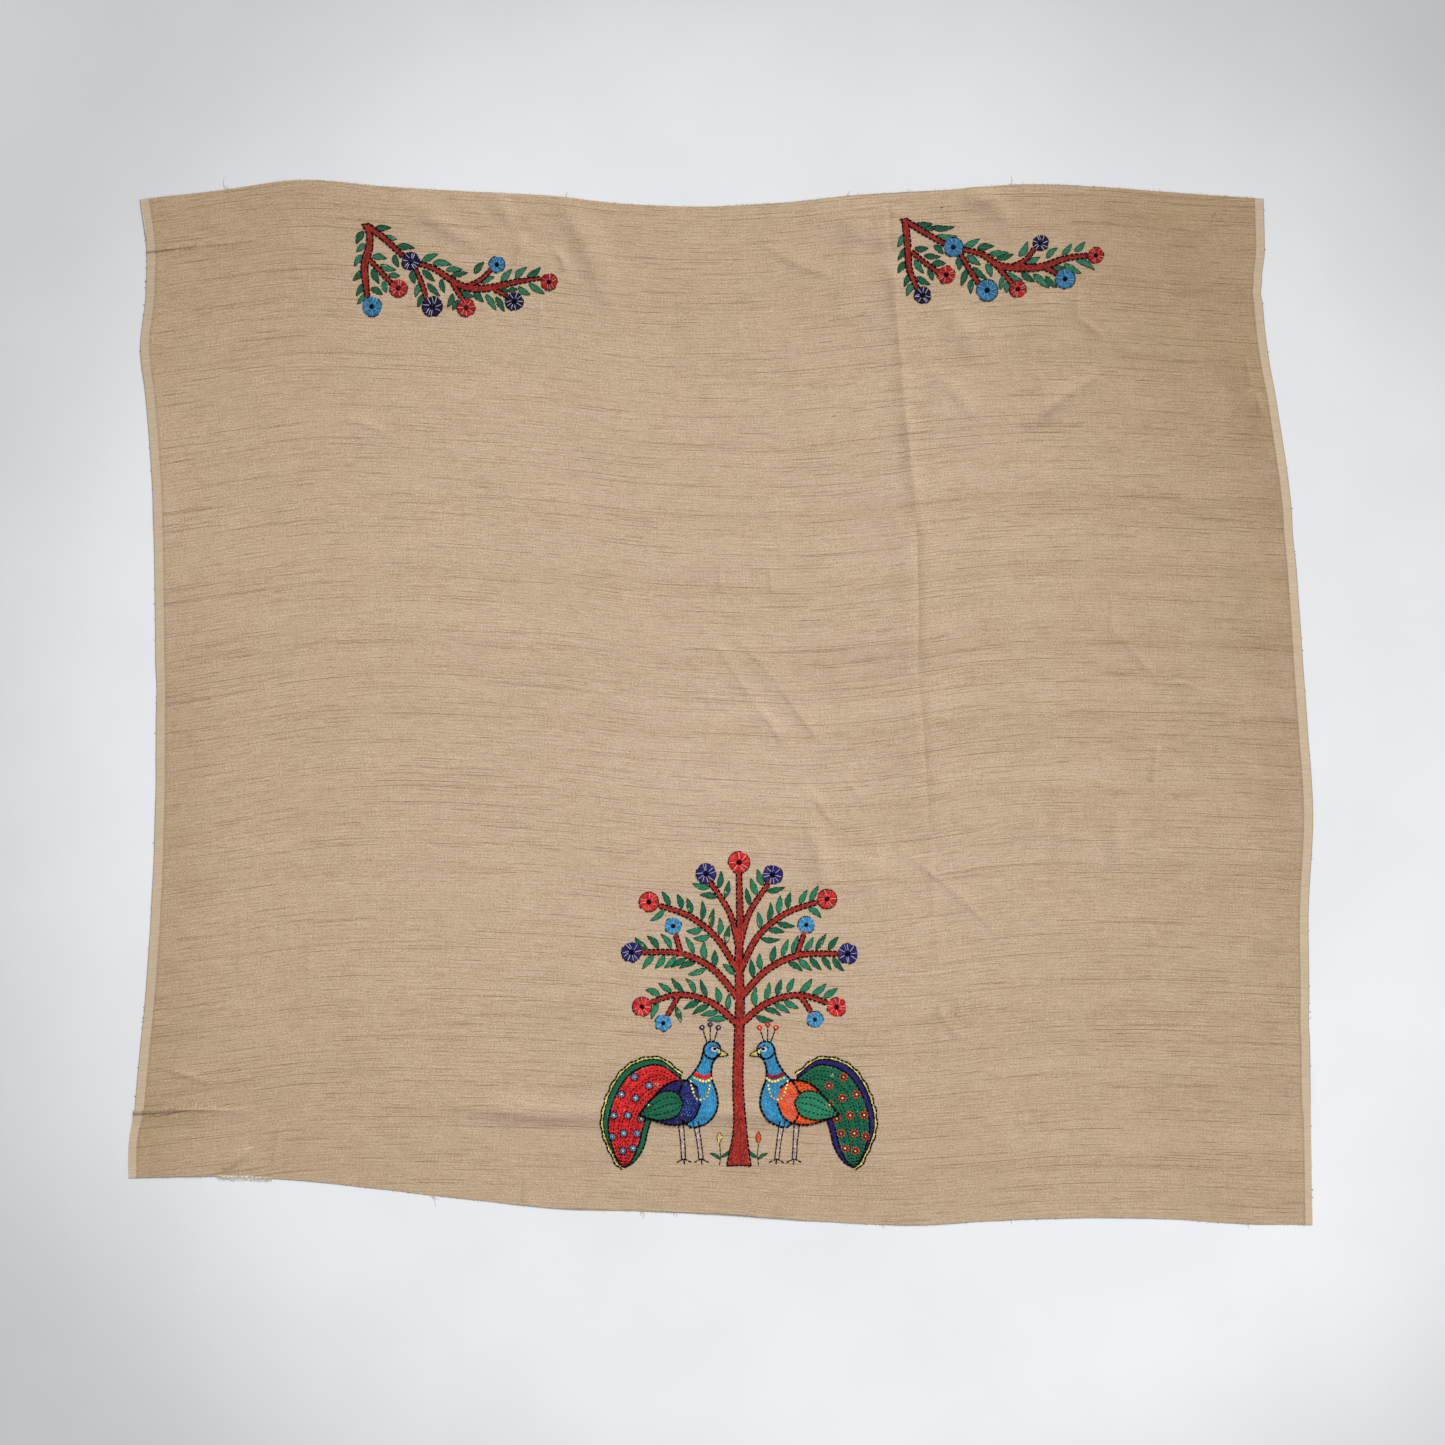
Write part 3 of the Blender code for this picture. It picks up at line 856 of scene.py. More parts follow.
def cloth_net():
    """The net of the sheet in shares of its width and length, closest around its creases."""
    net = bmesh.new()
    bmesh.ops.create_grid(net, x_segments=COLUMNS_ACROSS, y_segments=ROWS_DOWN, size=0.5)
    for corner in net.verts:
        corner.co = (corner.co.x + 0.5, 0.5 - corner.co.y, 0.0)
    net.edges.index_update()
    refine(net, [fold_arc(fold) for fold in FOLDS], FOLD_REFINE_REACH)
    refine(net, [fold_arc(fold) for fold in FOLDS if fold["sharp"]], SHARP_REFINE_REACH)
    refine(net, [tuck_place(tuck) for tuck in named(TUCK_COLUMNS, TUCK_ROWS)], TUCK_REFINE_REACH)
    bmesh.ops.triangulate(net, faces=[face for face in net.faces if len(face.verts) > 4])
    net.verts.index_update()
    shares = np.array([corner.co[:2] for corner in net.verts])
    faces = [tuple(corner.index for corner in face.verts) for face in net.faces]
    rim = [(edge.link_loops[0].vert.index, edge.link_loops[0].link_loop_next.vert.index)
           for edge in net.edges if len(edge.link_faces) == 1]
    net.free()
    return shares[:, 0], shares[:, 1], faces, rim


def cloth_points(across, down):
    """The middle of the sheet at shares of its width and length, and the places in the weave."""
    x, y = plan(across, down)
    weave = np.stack([across * FLAT_WIDTH, y - weft_swing(across, down)], axis=-1)
    z = SHEET / 2 + fold_height(x, y) + loose_height(x, y)
    y, z = add_tucks(across, down, y, z)
    x = add_dents(across, down, x)
    return np.stack([x + PLAN_SHIFT[0], y + PLAN_SHIFT[1], z], axis=-1), weave


def plan_shift():
    """What moves the middle of the plan to the middle of the cloth's own box."""
    steps = np.linspace(0, 1, 200)
    return [(low + high) / 2 - (line.min() + line.max()) / 2
            for line, low, high in zip(plan(*np.meshgrid(steps, steps)), *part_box("cloth"))]


def new_piece(name, points, faces, material):
    mesh = bpy.data.meshes.new(name)
    mesh.from_pydata(points, [], faces)
    mesh.materials.append(material)
    mesh.shade_smooth()
    piece = bpy.data.objects.new(name, mesh)
    bpy.context.scene.collection.objects.link(piece)
    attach(piece, "root")
    return piece


def add_uv(piece, name, point_uv):
    """A UV map from one pair of values for each point."""
    corners = np.zeros(len(piece.data.loops), dtype=np.int32)
    piece.data.loops.foreach_get("vertex_index", corners)
    layer = piece.data.uv_layers.new(name=name)
    layer.data.foreach_set("uv", np.asarray(point_uv, dtype=np.float32)[corners].ravel())


def point_normals(points, faces):
    """The mesh's own normals at its points, turned upward."""
    mesh = bpy.data.meshes.new("normals")
    mesh.from_pydata(points.tolist(), [], faces)
    normals = np.zeros(len(points) * 3)
    mesh.vertices.foreach_get("normal", normals)
    bpy.data.meshes.remove(mesh)
    normals = normals.reshape(-1, 3)
    return normals * np.sign(normals[:, 2].mean())


def build_cloth(material):
    """The sheet as a thin closed solid, and the tree of its upper face that stitches rest on."""
    across, down, faces, rim = cloth_net()
    middle, weave = cloth_points(across, down)
    a, b, c = (middle[corner] for corner in faces[0][:3])
    if np.cross(b - a, c - a)[2] < 0:
        faces = [face[::-1] for face in faces]
        rim = [(end, start) for start, end in rim]
    push = point_normals(middle, faces) * SHEET / 2
    upper = middle + push
    count = len(middle)
    below = [tuple(corner + count for corner in reversed(face)) for face in faces]
    band = [(end, start, start + count, end + count) for start, end in rim]
    points = np.concatenate([upper, middle - push]).tolist()
    cloth = new_piece("embroidered_cloth", points, faces + below + band, material)
    add_uv(cloth, "weave", np.concatenate([weave, weave]))
    cloth.data.set_sharp_from_angle(angle=math.radians(SHARP_EDGE))
    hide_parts("cloth")
    return cloth, BVHTree.FromPolygons([Vector(point) for point in upper.tolist()], faces)


def rest_height(top, x, y):
    """Height of the cloth's upper face at a plan point."""
    hit = top.ray_cast(Vector((x, y, 1.0)), Vector((0, 0, -1)))
    return hit[0].z if hit[0] else SHEET


class Value:
    """A number in a material's node tree, which adds and multiplies like a plain number."""

    def __init__(self, shader, socket):
        self.shader = shader
        self.socket = socket

    def __add__(self, other):
        return self.shader.math("ADD", self, other)

    def __sub__(self, other):
        return self.shader.math("SUBTRACT", self, other)

    def __rsub__(self, other):
        return self.shader.math("SUBTRACT", other, self)

    def __mul__(self, other):
        return self.shader.math("MULTIPLY", self, other)

    def __abs__(self):
        return self.shader.math("ABSOLUTE", self)

    __radd__ = __add__


class Shader:
    """Builds one material's nodes with short calls."""

    def __init__(self, name):
        self.material = bpy.data.materials.new(name)
        self.material.use_nodes = True
        self.tree = self.material.node_tree

    def feed(self, socket, value):
        if isinstance(value, Value):
            self.tree.links.new(value.socket, socket)
        else:
            socket.default_value = value

    def node(self, kind, inputs, output=0, **settings):
        """Adds a node with its settings and inputs, and gives one of its outputs."""
        node = self.tree.nodes.new("ShaderNode" + kind)
        for name, value in settings.items():
            setattr(node, name, value)
        for name, value in inputs.items():
            self.feed(node.inputs[name], value)
        return Value(self, node.outputs[output])

    def math(self, operation, *values):
        return self.node("Math", dict(enumerate(values)), operation=operation)

    def ramp(self, value, start, end, low=0.0, high=1.0):
        """Value carried smoothly from low at start to high at end."""
        inputs = dict(enumerate((value, start, end, low, high)))
        return self.node("MapRange", inputs, "Result", interpolation_type="SMOOTHSTEP")

    def point(self, x, y, z):
        return self.node("CombineXYZ", {0: x, 1: y, 2: z})

    def noise(self, x, y, z=0.0, detail=2.0):
        """Smooth noise around 0.5 at a point whose axes are already scaled."""
        inputs = {"Scale": 1.0, "Detail": detail, "Vector": self.point(x, y, z)}
        return self.node("TexNoise", inputs, "Fac", noise_dimensions="3D")

    def chance(self, value):
        """A random number from 0 to 1 for each whole value."""
        return self.node("TexWhiteNoise", {"W": value}, "Value", noise_dimensions="1D")

    def mix(self, share, first, second):
        sides = [side if isinstance(side, Value) else (*side, 1.0) for side in (first, second)]
        return self.node("Mix", {"Factor": share, "A": sides[0], "B": sides[1]}, "Result", data_type="RGBA")

    def shade(self, colour, value):
        """Colour made lighter or darker by a factor."""
        return self.node("VectorMath", {0: colour, "Scale": value}, operation="SCALE")

    def tint(self, colour, factors):
        """Colour with each channel scaled by its own factor."""
        return self.node("VectorMath", {0: colour, 1: factors}, operation="MULTIPLY")

    def bump(self, height, strength, distance):
        return self.node("Bump", {"Strength": strength, "Distance": distance, "Height": height})

    def two_axes(self, place):
        parts = self.tree.nodes.new("ShaderNodeSeparateXYZ")
        self.feed(parts.inputs[0], place)
        return Value(self, parts.outputs[0]), Value(self, parts.outputs[1])

    def uv_place(self, name):
        return self.two_axes(self.node("UVMap", {}, uv_map=name))

    def object_place(self):
        return self.two_axes(self.node("TexCoord", {}, "Object"))

    def surface(self, **values):
        """Feeds the surface's own sockets, which are named here as in base_color."""
        sockets = self.tree.nodes["Principled BSDF"].inputs
        for name, value in values.items():
            self.feed(sockets[name.replace("_", " ").title().replace("Ior", "IOR")], value)
        return self.material


def slubs(s, along, down):
    """Thin dark stretches of single threads, and a painted highlight on the threads pressed up beside them.
    """
    row = down * SLUB_ROWS
    thread = s.math("FLOOR", row)
    off = abs(s.math("FRACT", row) - 0.5)
    short = s.noise(along * 21.0, thread * 5.17, 1.5)
    long = s.noise(along * 7.0, thread * 3.71, 8.5)
    slub = s.math("MAXIMUM", s.ramp(short, 0.54, 0.68), s.ramp(long, 0.57, 0.68))
    slub = slub * s.ramp(s.chance(thread + 0.5), 0.20, 0.80)
    return slub * s.ramp(off, 0.28, 0.12), slub * s.ramp(off, 0.30, 0.45)


def bands(s, along, down, drift):
    """Dark and pale bands across the cloth, as the weaver wound it on."""
    beat = s.math("FRACT", (down + drift * BAND_WANDER) * (1 / BAND_STEP) + BAND_SHIFT)
    dark = s.ramp(abs(beat - 0.5), 0.12, 0.03)
    light = s.ramp(abs(beat - 0.84), 0.24, 0.0)
    band = (dark * -0.065 + light * 0.040 + drift * 0.24) * s.ramp(along, 0.30, 0.95, 0.60, 1.50)
    return band * (s.ramp(down, -0.32, -0.05, 0.60, 1.0) * s.ramp(down, 0.30, 0.12, 0.50, 1.0))


def weave_tone(s, along, down, yarn, noises):
    """Tone of the weave, from dark at 0 to light at 1, with a painted sheen highlight near the middle."""
    off = {name: noise - 0.5 for name, noise in noises.items()}
    comb = s.math("SINE", (down * COMB_LINES + noises["sway"] * 3.0) * (2 * math.pi))
    # Painted sheen highlight: the cloth is lighter toward a spot near its middle
    from_painted_sheen = (s.math("POWER", (along - 0.56) * 6.0, 2.0)
                 + s.math("POWER", (down + 0.06) * 9.0, 2.0))
    return sum((
        (yarn - 0.5) * 1.05,
        off["grain"] * s.ramp(along, 0.20, 0.60, 2.00, 1.85),
        off["streak"] * 0.14,
        comb * s.ramp(noises["comb"], 0.30, 0.75, 0.2, 1.4) * 0.12,
        off["warp"] * 0.28,
        off["blotch"] * s.ramp(along, 0.55, 0.95, 0.16, 0.24),
        s.ramp(from_painted_sheen, 1.2, 0.0, 0.0, 0.08),
        bands(s, along, down, off["drift"]),
    ), 0.5)


def painted_shade_share(s, along, down):
    """How much painted shade browns the cloth toward its sides, ends and corners, with less of it at the
    lower right.
    """
    from_middle = abs(along - FLAT_WIDTH / 2)
    return sum((
        s.ramp(from_middle, 0.18, 0.56, 0.0, 0.30),
        s.ramp(abs(down), 0.20, 0.50, 0.0, 0.30),
        s.ramp(down, -0.32, -0.42) * s.ramp(along, 0.70, 0.95, 0.0, -0.18),
        s.ramp(down, 0.18, -0.02) * s.ramp(along, 0.080, 0.012, 0.0, 0.30),
        s.ramp(down, -0.50, 0.05) * s.ramp(along, 1.06, 1.11, 0.0, 0.22),
        s.ramp(down, 0.10, 0.46) * s.ramp(from_middle, 0.22, 0.54, 0.0, 0.22),
        s.ramp(down, -0.30, 0.25, 0.10, 1.0) * s.ramp(along, 0.78, 1.10, 0.0, 0.34),
    ))


def selvedges(s, along, down, yarn, colour):
    """A smooth pale strip on each side, paler on the right and in painted shade toward the top, with a thin
    darker line inside it and a dark rim of painted shade at the very edge.
    """
    edge = s.math("MINIMUM", along, FLAT_WIDTH - along) + s.ramp(down, -0.385, -0.415, 0.0, 0.0018)
    line = s.ramp(edge, 0.0084, 0.0091) * s.ramp(edge, 0.0125, 0.0094)
    pale = s.mix(s.ramp(yarn, 0.3, 0.7), CLOTH_COLOURS["strip_dark"], CLOTH_COLOURS["strip_light"])
    # Painted shade darkens the strip toward the top; the right strip is paler
    pale = s.shade(pale, s.ramp(along, 0.5, 1.0, 1.0, 1.10) * s.ramp(down, 0.10, 0.42, 1.02, 0.92))
    colour = s.mix(line * 0.30, colour, CLOTH_COLOURS["inner_line"])
    colour = s.mix(s.ramp(edge, 0.0090, 0.0084) * 0.9, colour, pale)
    # The dark rim at the very edge is painted shade
    return s.mix(s.ramp(edge, 0.0009, 0.0004, 0.0, 0.55), colour, CLOTH_COLOURS["rim"])


def cloth_material():
    """Slubbed plain weave: thin dark slubs along the weft, uneven yarn, pale selvedges."""
    s = Shader("slubbed_weave")
    along, down = s.uv_place("weave")
    noises = {name: s.noise(along * row["along"], down * row["down"], row["seed"], row["detail"])
              for name, row in zip(WEAVE_NOISES, named(NOISE_COLUMNS, WEAVE_NOISES.values()))}
    pick = s.math("FLOOR", down * PICKS)
    yarn = s.noise(along * 85.0, pick * 7.31)
    slub, flank_highlight = slubs(s, along, down)
    tone = weave_tone(s, along, down, yarn, noises)

    # Patches that lean to pink or to straw yellow, painted shade that browns the outer parts, and fine
    # specks
    colour = s.mix(tone, CLOTH_COLOURS["dark"], CLOTH_COLOURS["light"])
    colour = s.mix(s.ramp(noises["hue"], 0.50, 0.72, 0.0, 0.16), colour, CLOTH_COLOURS["pink"])
    colour = s.mix(s.ramp(noises["hue"], 0.48, 0.30, 0.0, 0.18), colour, CLOTH_COLOURS["straw"])
    colour = s.mix(painted_shade_share(s, along, down), colour, s.tint(colour, PAINTED_SHADE_TINT))
    red = (noises["speck"] - 0.5) * -0.16 + 1.0
    blue = (noises["fleck"] - 0.5) * 0.34 + 1.0
    colour = s.tint(colour, s.point(red, 1.0, blue))
    # Painted highlight on the threads beside each slub
    colour = s.mix(flank_highlight * 0.40, colour, s.tint(colour, FLANK_HIGHLIGHT_TINT))
    colour = s.mix(slub * 0.92, colour, s.tint(colour, SLUB_TINT))
    colour = selvedges(s, along, down, yarn, colour)

    # Plain weave, thicker at the slubs
    over = (s.math("SINE", along * (2 * math.pi * WARP_ENDS) + pick * math.pi)
            * s.math("SINE", down * (math.pi * PICKS)))
    return s.surface(base_color=colour, normal=s.bump(over * 0.5 + (yarn + slub), 0.5, 0.00020),
                     roughness=s.ramp(tone, 0.0, 1.0, 0.82, 0.70), specular_ior_level=0.14)


def thread_material(name, colour, variety, shine, side_shade):
    """Stranded floss: each stitch has its own tone and painted shade at its sides, with the strands' twist
    in its relief and painted lightly into its tone.
    """
    s = Shader(name)
    along, across = s.uv_place("thread")
    stitch = s.math("FLOOR", across)
    side = abs(s.math("FRACT", across) - 0.5)
    tone = s.chance(stitch)
    fade = s.noise(along * 700.0, stitch * 3.3, 0.0, 1.0)
    twist = s.math("SINE", along * 5200.0 + side * 9.0)
    # The twist's ridges and grooves are painted a little lighter and darker
    value = tone * variety + fade * 0.16 + (1.04 - variety * 0.6) + twist * 0.06
    # Painted shade: each stitch darker toward its sides, where strands meet
    shaded = s.shade(colour, value * s.ramp(side, 0.20, 0.42, 1.0, side_shade))
    # A few stitches get a painted glint
    glint = s.ramp(s.chance(stitch + 0.5), 0.93, 0.96, 0.0, 0.07)
    return s.surface(base_color=s.mix(glint, shaded, GLINT), normal=s.bump(twist, 0.4, 0.00010),
                     roughness=s.ramp(tone, 0.0, 1.0, 0.55, 0.75), specular_ior_level=shine)


def thread_materials(prefix, changed):
    """One material for each thread colour, some of them changed from the plain table."""
    # Satin threads get less painted shade at their sides than the others
    return {name: thread_material(prefix + name, changed.get(name, colour),
                                  STITCH_VARIETY.get(name, 0.95), 0.02 if name == "black" else 0.10,
                                  0.72 if name in SATIN else 0.50)
            for name, colour in THREADS.items()}


def fibre_material(name):
    """Loose yarn, uneven in tone along each end."""
    s = Shader(name)
    x, y = s.object_place()
    pale, dark = FIBRES[name]
    tone = s.ramp(s.noise(x * 500.0, y * 500.0, 0.0, 1.0), 0.35, 0.65)
    return s.surface(base_color=s.mix(tone, dark, pale), roughness=0.85, specular_ior_level=0.15,
                     sheen_weight=0.2)


def unit_sides(run):
    """The unit sideways direction of each step, to its left."""
    run = run / np.linalg.norm(run, axis=1, keepdims=True)
    return np.stack([-run[:, 1], run[:, 0]], axis=-1)


def plain_path(points, samples=48):
    """A smooth path through a few points, as positions at equal shares of its length."""
    points = np.asarray(points, float)
    if len(points) == 2:
        points = np.array([points[0], points.mean(axis=0), points[1]])
    fine = np.linspace(0, len(points) - 1, samples)
    path = np.stack([smooth_read(np.arange(len(points)), axis, fine) for axis in points.T], axis=-1)
    run = np.concatenate([[0], np.cumsum(np.linalg.norm(np.diff(path, axis=0), axis=1))])
    even = np.linspace(0, run[-1], samples)
    return np.stack([np.interp(even, run, axis) for axis in path.T], axis=-1)


def path_length(path):
    return float(np.linalg.norm(np.diff(path, axis=0), axis=1).sum())


def path_side(path):
    return unit_sides(np.gradient(path, axis=0))


def on_path(path, share):
    place = min(max(share, 0.0), 1.0) * (len(path) - 1)
    step = min(int(place), len(path) - 2)
    return path[step] + (path[step + 1] - path[step]) * (place - step)


def ray(reach, turn):
    """A step of some length at an angle."""
    return reach * np.array([math.cos(turn), math.sin(turn)])


def ring(centre, radius, first=0.0):
    """A closed round path."""
    turns = np.linspace(0, 2 * math.pi, 60) + first
    return np.stack([centre[0] + radius * np.cos(turns), centre[1] + radius * np.sin(turns)], axis=-1)


def half_ring(radius):
    """The right half of a round path, upward."""
    turns = np.linspace(-math.pi / 2, math.pi / 2, 24)
    return np.stack([np.cos(turns), np.sin(turns)], axis=-1) * radius


class Needle:
    """Collects a motif's stitches, thread by thread, and lays them on the cloth."""

    def __init__(self, name, origin, flip=1):
        self.name = name
        self.origin = np.array(origin)
        self.flip = np.array([flip, 1.0])
        self.draw = random.Random(SEEDS[name])
        self.threads = {}
        self.pads = {}
        self.bands = []
        self.flowers = []
        self.leaves = []

    def place(self, point):
        return self.origin + np.asarray(point) * self.flip / 1000

    def stitch(self, thread, start, end, width=STRAND, height=STITCH_HEIGHT, layer=0):
        """One stitch between two points in millimetres from the motif's origin."""
        wobble = self.draw.uniform(0.90, 1.10)
        row = (*self.place(start), *self.place(end), width * wobble,
               height * self.draw.uniform(0.9, 1.15), layer * LAYER_STEP)
        self.threads.setdefault(thread, []).append(row)

    def near(self, point, spread):
        return (point[0] + self.draw.gauss(0, spread), point[1] + self.draw.gauss(0, spread))

    def running(self, thread, path, dash=OUTLINE_DASH, gap=OUTLINE_GAP, width=OUTLINE_WIDTH, layer=1,
                skip=None):
        """Running stitch along a path, left out wherever skip says so."""
        count = max(1, round(path_length(path) / ((dash + gap) * 1000)))
        share = dash / (dash + gap)
        for i in range(count):
            start = (i + self.draw.uniform(0.0, 0.10)) / count
            end = (i + share + self.draw.uniform(-0.05, 0.08)) / count
            if skip and skip(on_path(path, (start + end) / 2)):
                continue
            self.stitch(thread, self.near(on_path(path, start), LINE_SPREAD),
                        self.near(on_path(path, end), LINE_SPREAD), width, LINE_HEIGHT, layer)

    def line(self, thread, path, width=LINE_WIDTH, layer=1, skip=None):
        """Back stitch, a line of stitches with hardly a gap between them."""
        self.running(thread, path, LINE_DASH, LINE_GAP, width, layer, skip)

    def pad(self, thread, side_a, side_b, layer=0):
        """Laid threads under a fill, so that no cloth shows between its stitches."""
        length = (path_length(side_a) + path_length(side_b)) / 2
        width = max(np.linalg.norm(side_a[::4] - side_b[::4], axis=1))
        down = np.linspace(0, 1, max(3, math.ceil(length / PAD_SQUARE[0]) + 1))
        across = np.linspace(0, 1, max(2, math.ceil(width / PAD_SQUARE[1]) + 1))
        grid = [[on_path(side_a, i) * (1 - j) + on_path(side_b, i) * j for j in across] for i in down]
        self.pads.setdefault(thread, []).append((np.array(grid), layer))

    def fill(self, thread, side_a, side_b, pitch=ROW_PITCH, stitch=STITCH, layer=0, width=STRAND,
             skip=None):
        """Rows of stitches that flow between two side paths and grow fewer where they narrow."""
        inset = (side_b - side_a) * PAD_INSET
        self.pad(thread, side_a + inset, side_b - inset, layer)
        length = (path_length(side_a) + path_length(side_b)) / 2
        columns = max(1, round(length / (stitch * 1000)))
        for column in range(columns):
            middle = (column + 0.5) / columns
            reach = np.linalg.norm(on_path(side_a, middle) - on_path(side_b, middle))
            rows = max(1, round(reach / (pitch * 1000)))
            for row in range(rows):
                across = (row + 0.5) / rows + self.draw.uniform(-ROW_SLIP, ROW_SLIP) / rows
                slip = (row % 2) * 0.5 + self.draw.uniform(-ROW_SLIP, ROW_SLIP)
                start = (column + slip + 0.01) / columns
                if start >= 1:
                    continue
                first, last = (on_path(side_a, at) * (1 - across) + on_path(side_b, at) * across
                               for at in (start, (column + slip + 1.0) / columns))
                if np.linalg.norm(last - first) < SHORTEST_STITCH or (skip and skip((first + last) / 2)):
                    continue
                self.stitch(thread, self.near(first, FILL_SPREAD), self.near(last, FILL_SPREAD), width,
                            layer=layer)

    def shape(self, thread, sides, layer, line_width, line_layer):
        """A filled shape with a black line along both of its sides."""
        self.fill(thread, *sides, layer=layer)
        for side in sides:
            self.line("black", side, line_width, line_layer)

    def knot(self, thread, at, size=1.5, layer=2):
        reach = ray(size / 2, self.draw.uniform(0, math.pi))
        self.stitch(thread, at - reach, at + reach, size * 0.9 / 1000, KNOT_HEIGHT, layer)

    def covered(self, point, margin=-0.5, flower_margin=-0.5, own=None):
        """Whether a point lies within a branch other than its own, or within a flower."""
        for index, (path, half) in enumerate(self.bands):
            away = np.linalg.norm(path - point, axis=1)
            nearest = int(away.argmin())
            if index != own and away[nearest] < half[nearest, 0] + margin:
                return True
        return any(np.linalg.norm(centre - point) < radius + flower_margin
                   for centre, radius in self.flowers)

    def free(self, point):
        """Whether a leaf's point stays clear of the branches, flowers and leaves so far."""
        return (not self.covered(point, BRANCH_ROOM, FLOWER_ROOM)
                and all(np.linalg.norm(other - point) > LEAF_GAP for other in self.leaves))

    def branch(self, points, widths):
        """A branch of brick red rows; its outline follows once all branches are known."""
        path = plain_path(points, 96)
        places = np.linspace(0, 1, len(path))
        half = smooth_read(np.linspace(0, 1, len(widths)), widths, places)[:, None] / 2
        side = path_side(path)
        self.fill("brick", path + side * (half - 0.3), path - side * (half - 0.3), layer=1)
        self.bands.append((path, half))

    def outline_branches(self):
        for own, (path, half) in enumerate(self.bands):
            side = path_side(path)
            for hand in (1, -1):
                self.running("black", path + side * hand * (half - 0.10), layer=4,
                             skip=lambda point, own=own: self.covered(point, own=own))

    def leaf(self, base, tip, width, bend=0.08, outline="pine", thread="green"):
        """A pointed leaf in satin stitch, edged with a line of darker thread."""
        base = np.asarray(base, float)
        run = (np.asarray(tip, float) - base) * LEAF_RUN
        length = np.linalg.norm(run)
        side = np.array([-run[1], run[0]]) / length
        shares = np.linspace(0, 1, 24)[:, None]
        spine = base + run * shares + side * (bend * length * np.sin(np.pi * shares))
        near, far = LEAF_TAPERS
        half = width / 2 * LEAF_FULLNESS * shares ** near * (1 - shares) ** far
        edges = (spine + side * half, spine - side * half)
        inner = (spine + (edge - spine) * LEAF_FILLED for edge in edges)
        self.fill(thread, *inner, SATIN_PITCH, SATIN_STITCH, width=SATIN_STRAND, skip=self.covered)
        for edge in edges:
            self.running(outline, edge, LEAF_DASH, LEAF_DASH_GAP, LEAF_LINE, 2, self.covered)
        self.leaves += [base + run * share for share in LEAF_CHECKS]

    def leafy(self, path, half, start, end):
        """Leaves at a steady spacing on both sides of a branch, where there is room."""
        length = path_length(path)
        side = path_side(path)
        for hand in (1, -1):
            place = start + (0 if hand > 0 else LEAF_SPACING / 2)
            while place < length - end:
                index = int(place / length * (len(path) - 1))
                ahead = np.array([side[index][1], -side[index][0]])
                turn = math.radians(self.draw.uniform(*LEAF_TURNS))
                heading = ahead * math.cos(turn) + side[index] * hand * math.sin(turn)
                base = path[index] + side[index] * hand * (half[index, 0] + LEAF_STAND)
                tip = base + heading * self.draw.uniform(*LEAF_LENGTHS)
                if self.free(base + heading * LEAF_MIDDLE) and self.free(tip):
                    self.leaf(base, tip, self.draw.uniform(*TREE_LEAF_WIDTHS),
                              self.draw.uniform(-0.1, 0.1), thread=self.draw.choice(SATIN))
                place += LEAF_SPACING * self.draw.uniform(*LEAF_SPREAD)

    def flower(self, centre, radius, thread):
        """A round flower: two rings of radial stitches, pale rays, a dark eye and a broken rim."""
        draw = self.draw
        centre = np.asarray(centre, float)
        arc = half_ring(1) * radius * PETAL_PAD
        self.pad(thread, centre + arc, centre + arc * (-1, 1), 1)
        for start, end, crowd in FLOWER_RINGS:
            count = round(radius * crowd)
            for i in range(count):
                turn = 2 * math.pi * (i + draw.uniform(-0.2, 0.2)) / count
                lean = turn + draw.uniform(-0.06, 0.06)
                reach = radius * end * draw.uniform(0.96, 1.02)
                self.stitch(thread, centre + ray(radius * start, turn), centre + ray(reach, lean),
                            PETAL_WIDTH, layer=1)
        pale, rays = FLOWER_RAYS[thread]
        for i in range(rays):
            turn = 2 * math.pi * (i + draw.uniform(-0.28, 0.28)) / rays
            lean = turn + draw.uniform(-0.12, 0.40)
            inner = centre + ray(radius * draw.uniform(*RAY_START), turn)
            outer = centre + ray(radius * draw.uniform(*RAY_END), lean)
            self.stitch(pale, inner, outer, *RAY_SIZE, 4)
        for i in range(EYE_STITCHES):
            turn = math.pi * i / EYE_STITCHES + draw.uniform(-0.15, 0.15)
            reach = ray(radius * draw.uniform(*EYE_REACH), turn)
            self.stitch("black", centre - reach, centre + reach, *EYE_SIZE, 4)
        rim = ring(centre, radius, draw.uniform(0, 6))
        bare = draw.uniform(*RIM_BARE)
        self.line("black", rim, RIM_WIDTH, 3, lambda point: draw.random() < bare)

    def disc(self, thread, centre, radius, layer):
        """A small round filled with level rows."""
        arc = half_ring(radius)[:, ::-1]
        self.fill(thread, centre + arc, centre + arc * (1, -1), stitch=0.0026, layer=layer)

    def finish(self, top, materials):
        """One piece for each thread colour, its stitches following the cloth's folds."""
        pieces = []
        for thread in sorted(set(self.threads) | set(self.pads)):
            points, faces, uv = self.strands(np.array(self.threads.get(thread, [])), top)
            for grid, layer in self.pads.get(thread, []):
                pad_points, pad_faces, pad_uv = self.laid(grid, layer, top, len(points))
                points = np.concatenate([points, pad_points])
                uv = np.concatenate([uv, pad_uv])
                faces += pad_faces
            piece = new_piece(f"{self.name}_{thread}", points.tolist(), faces, materials[thread])
            add_uv(piece, "thread", uv)
            pieces.append(piece)
        return pieces

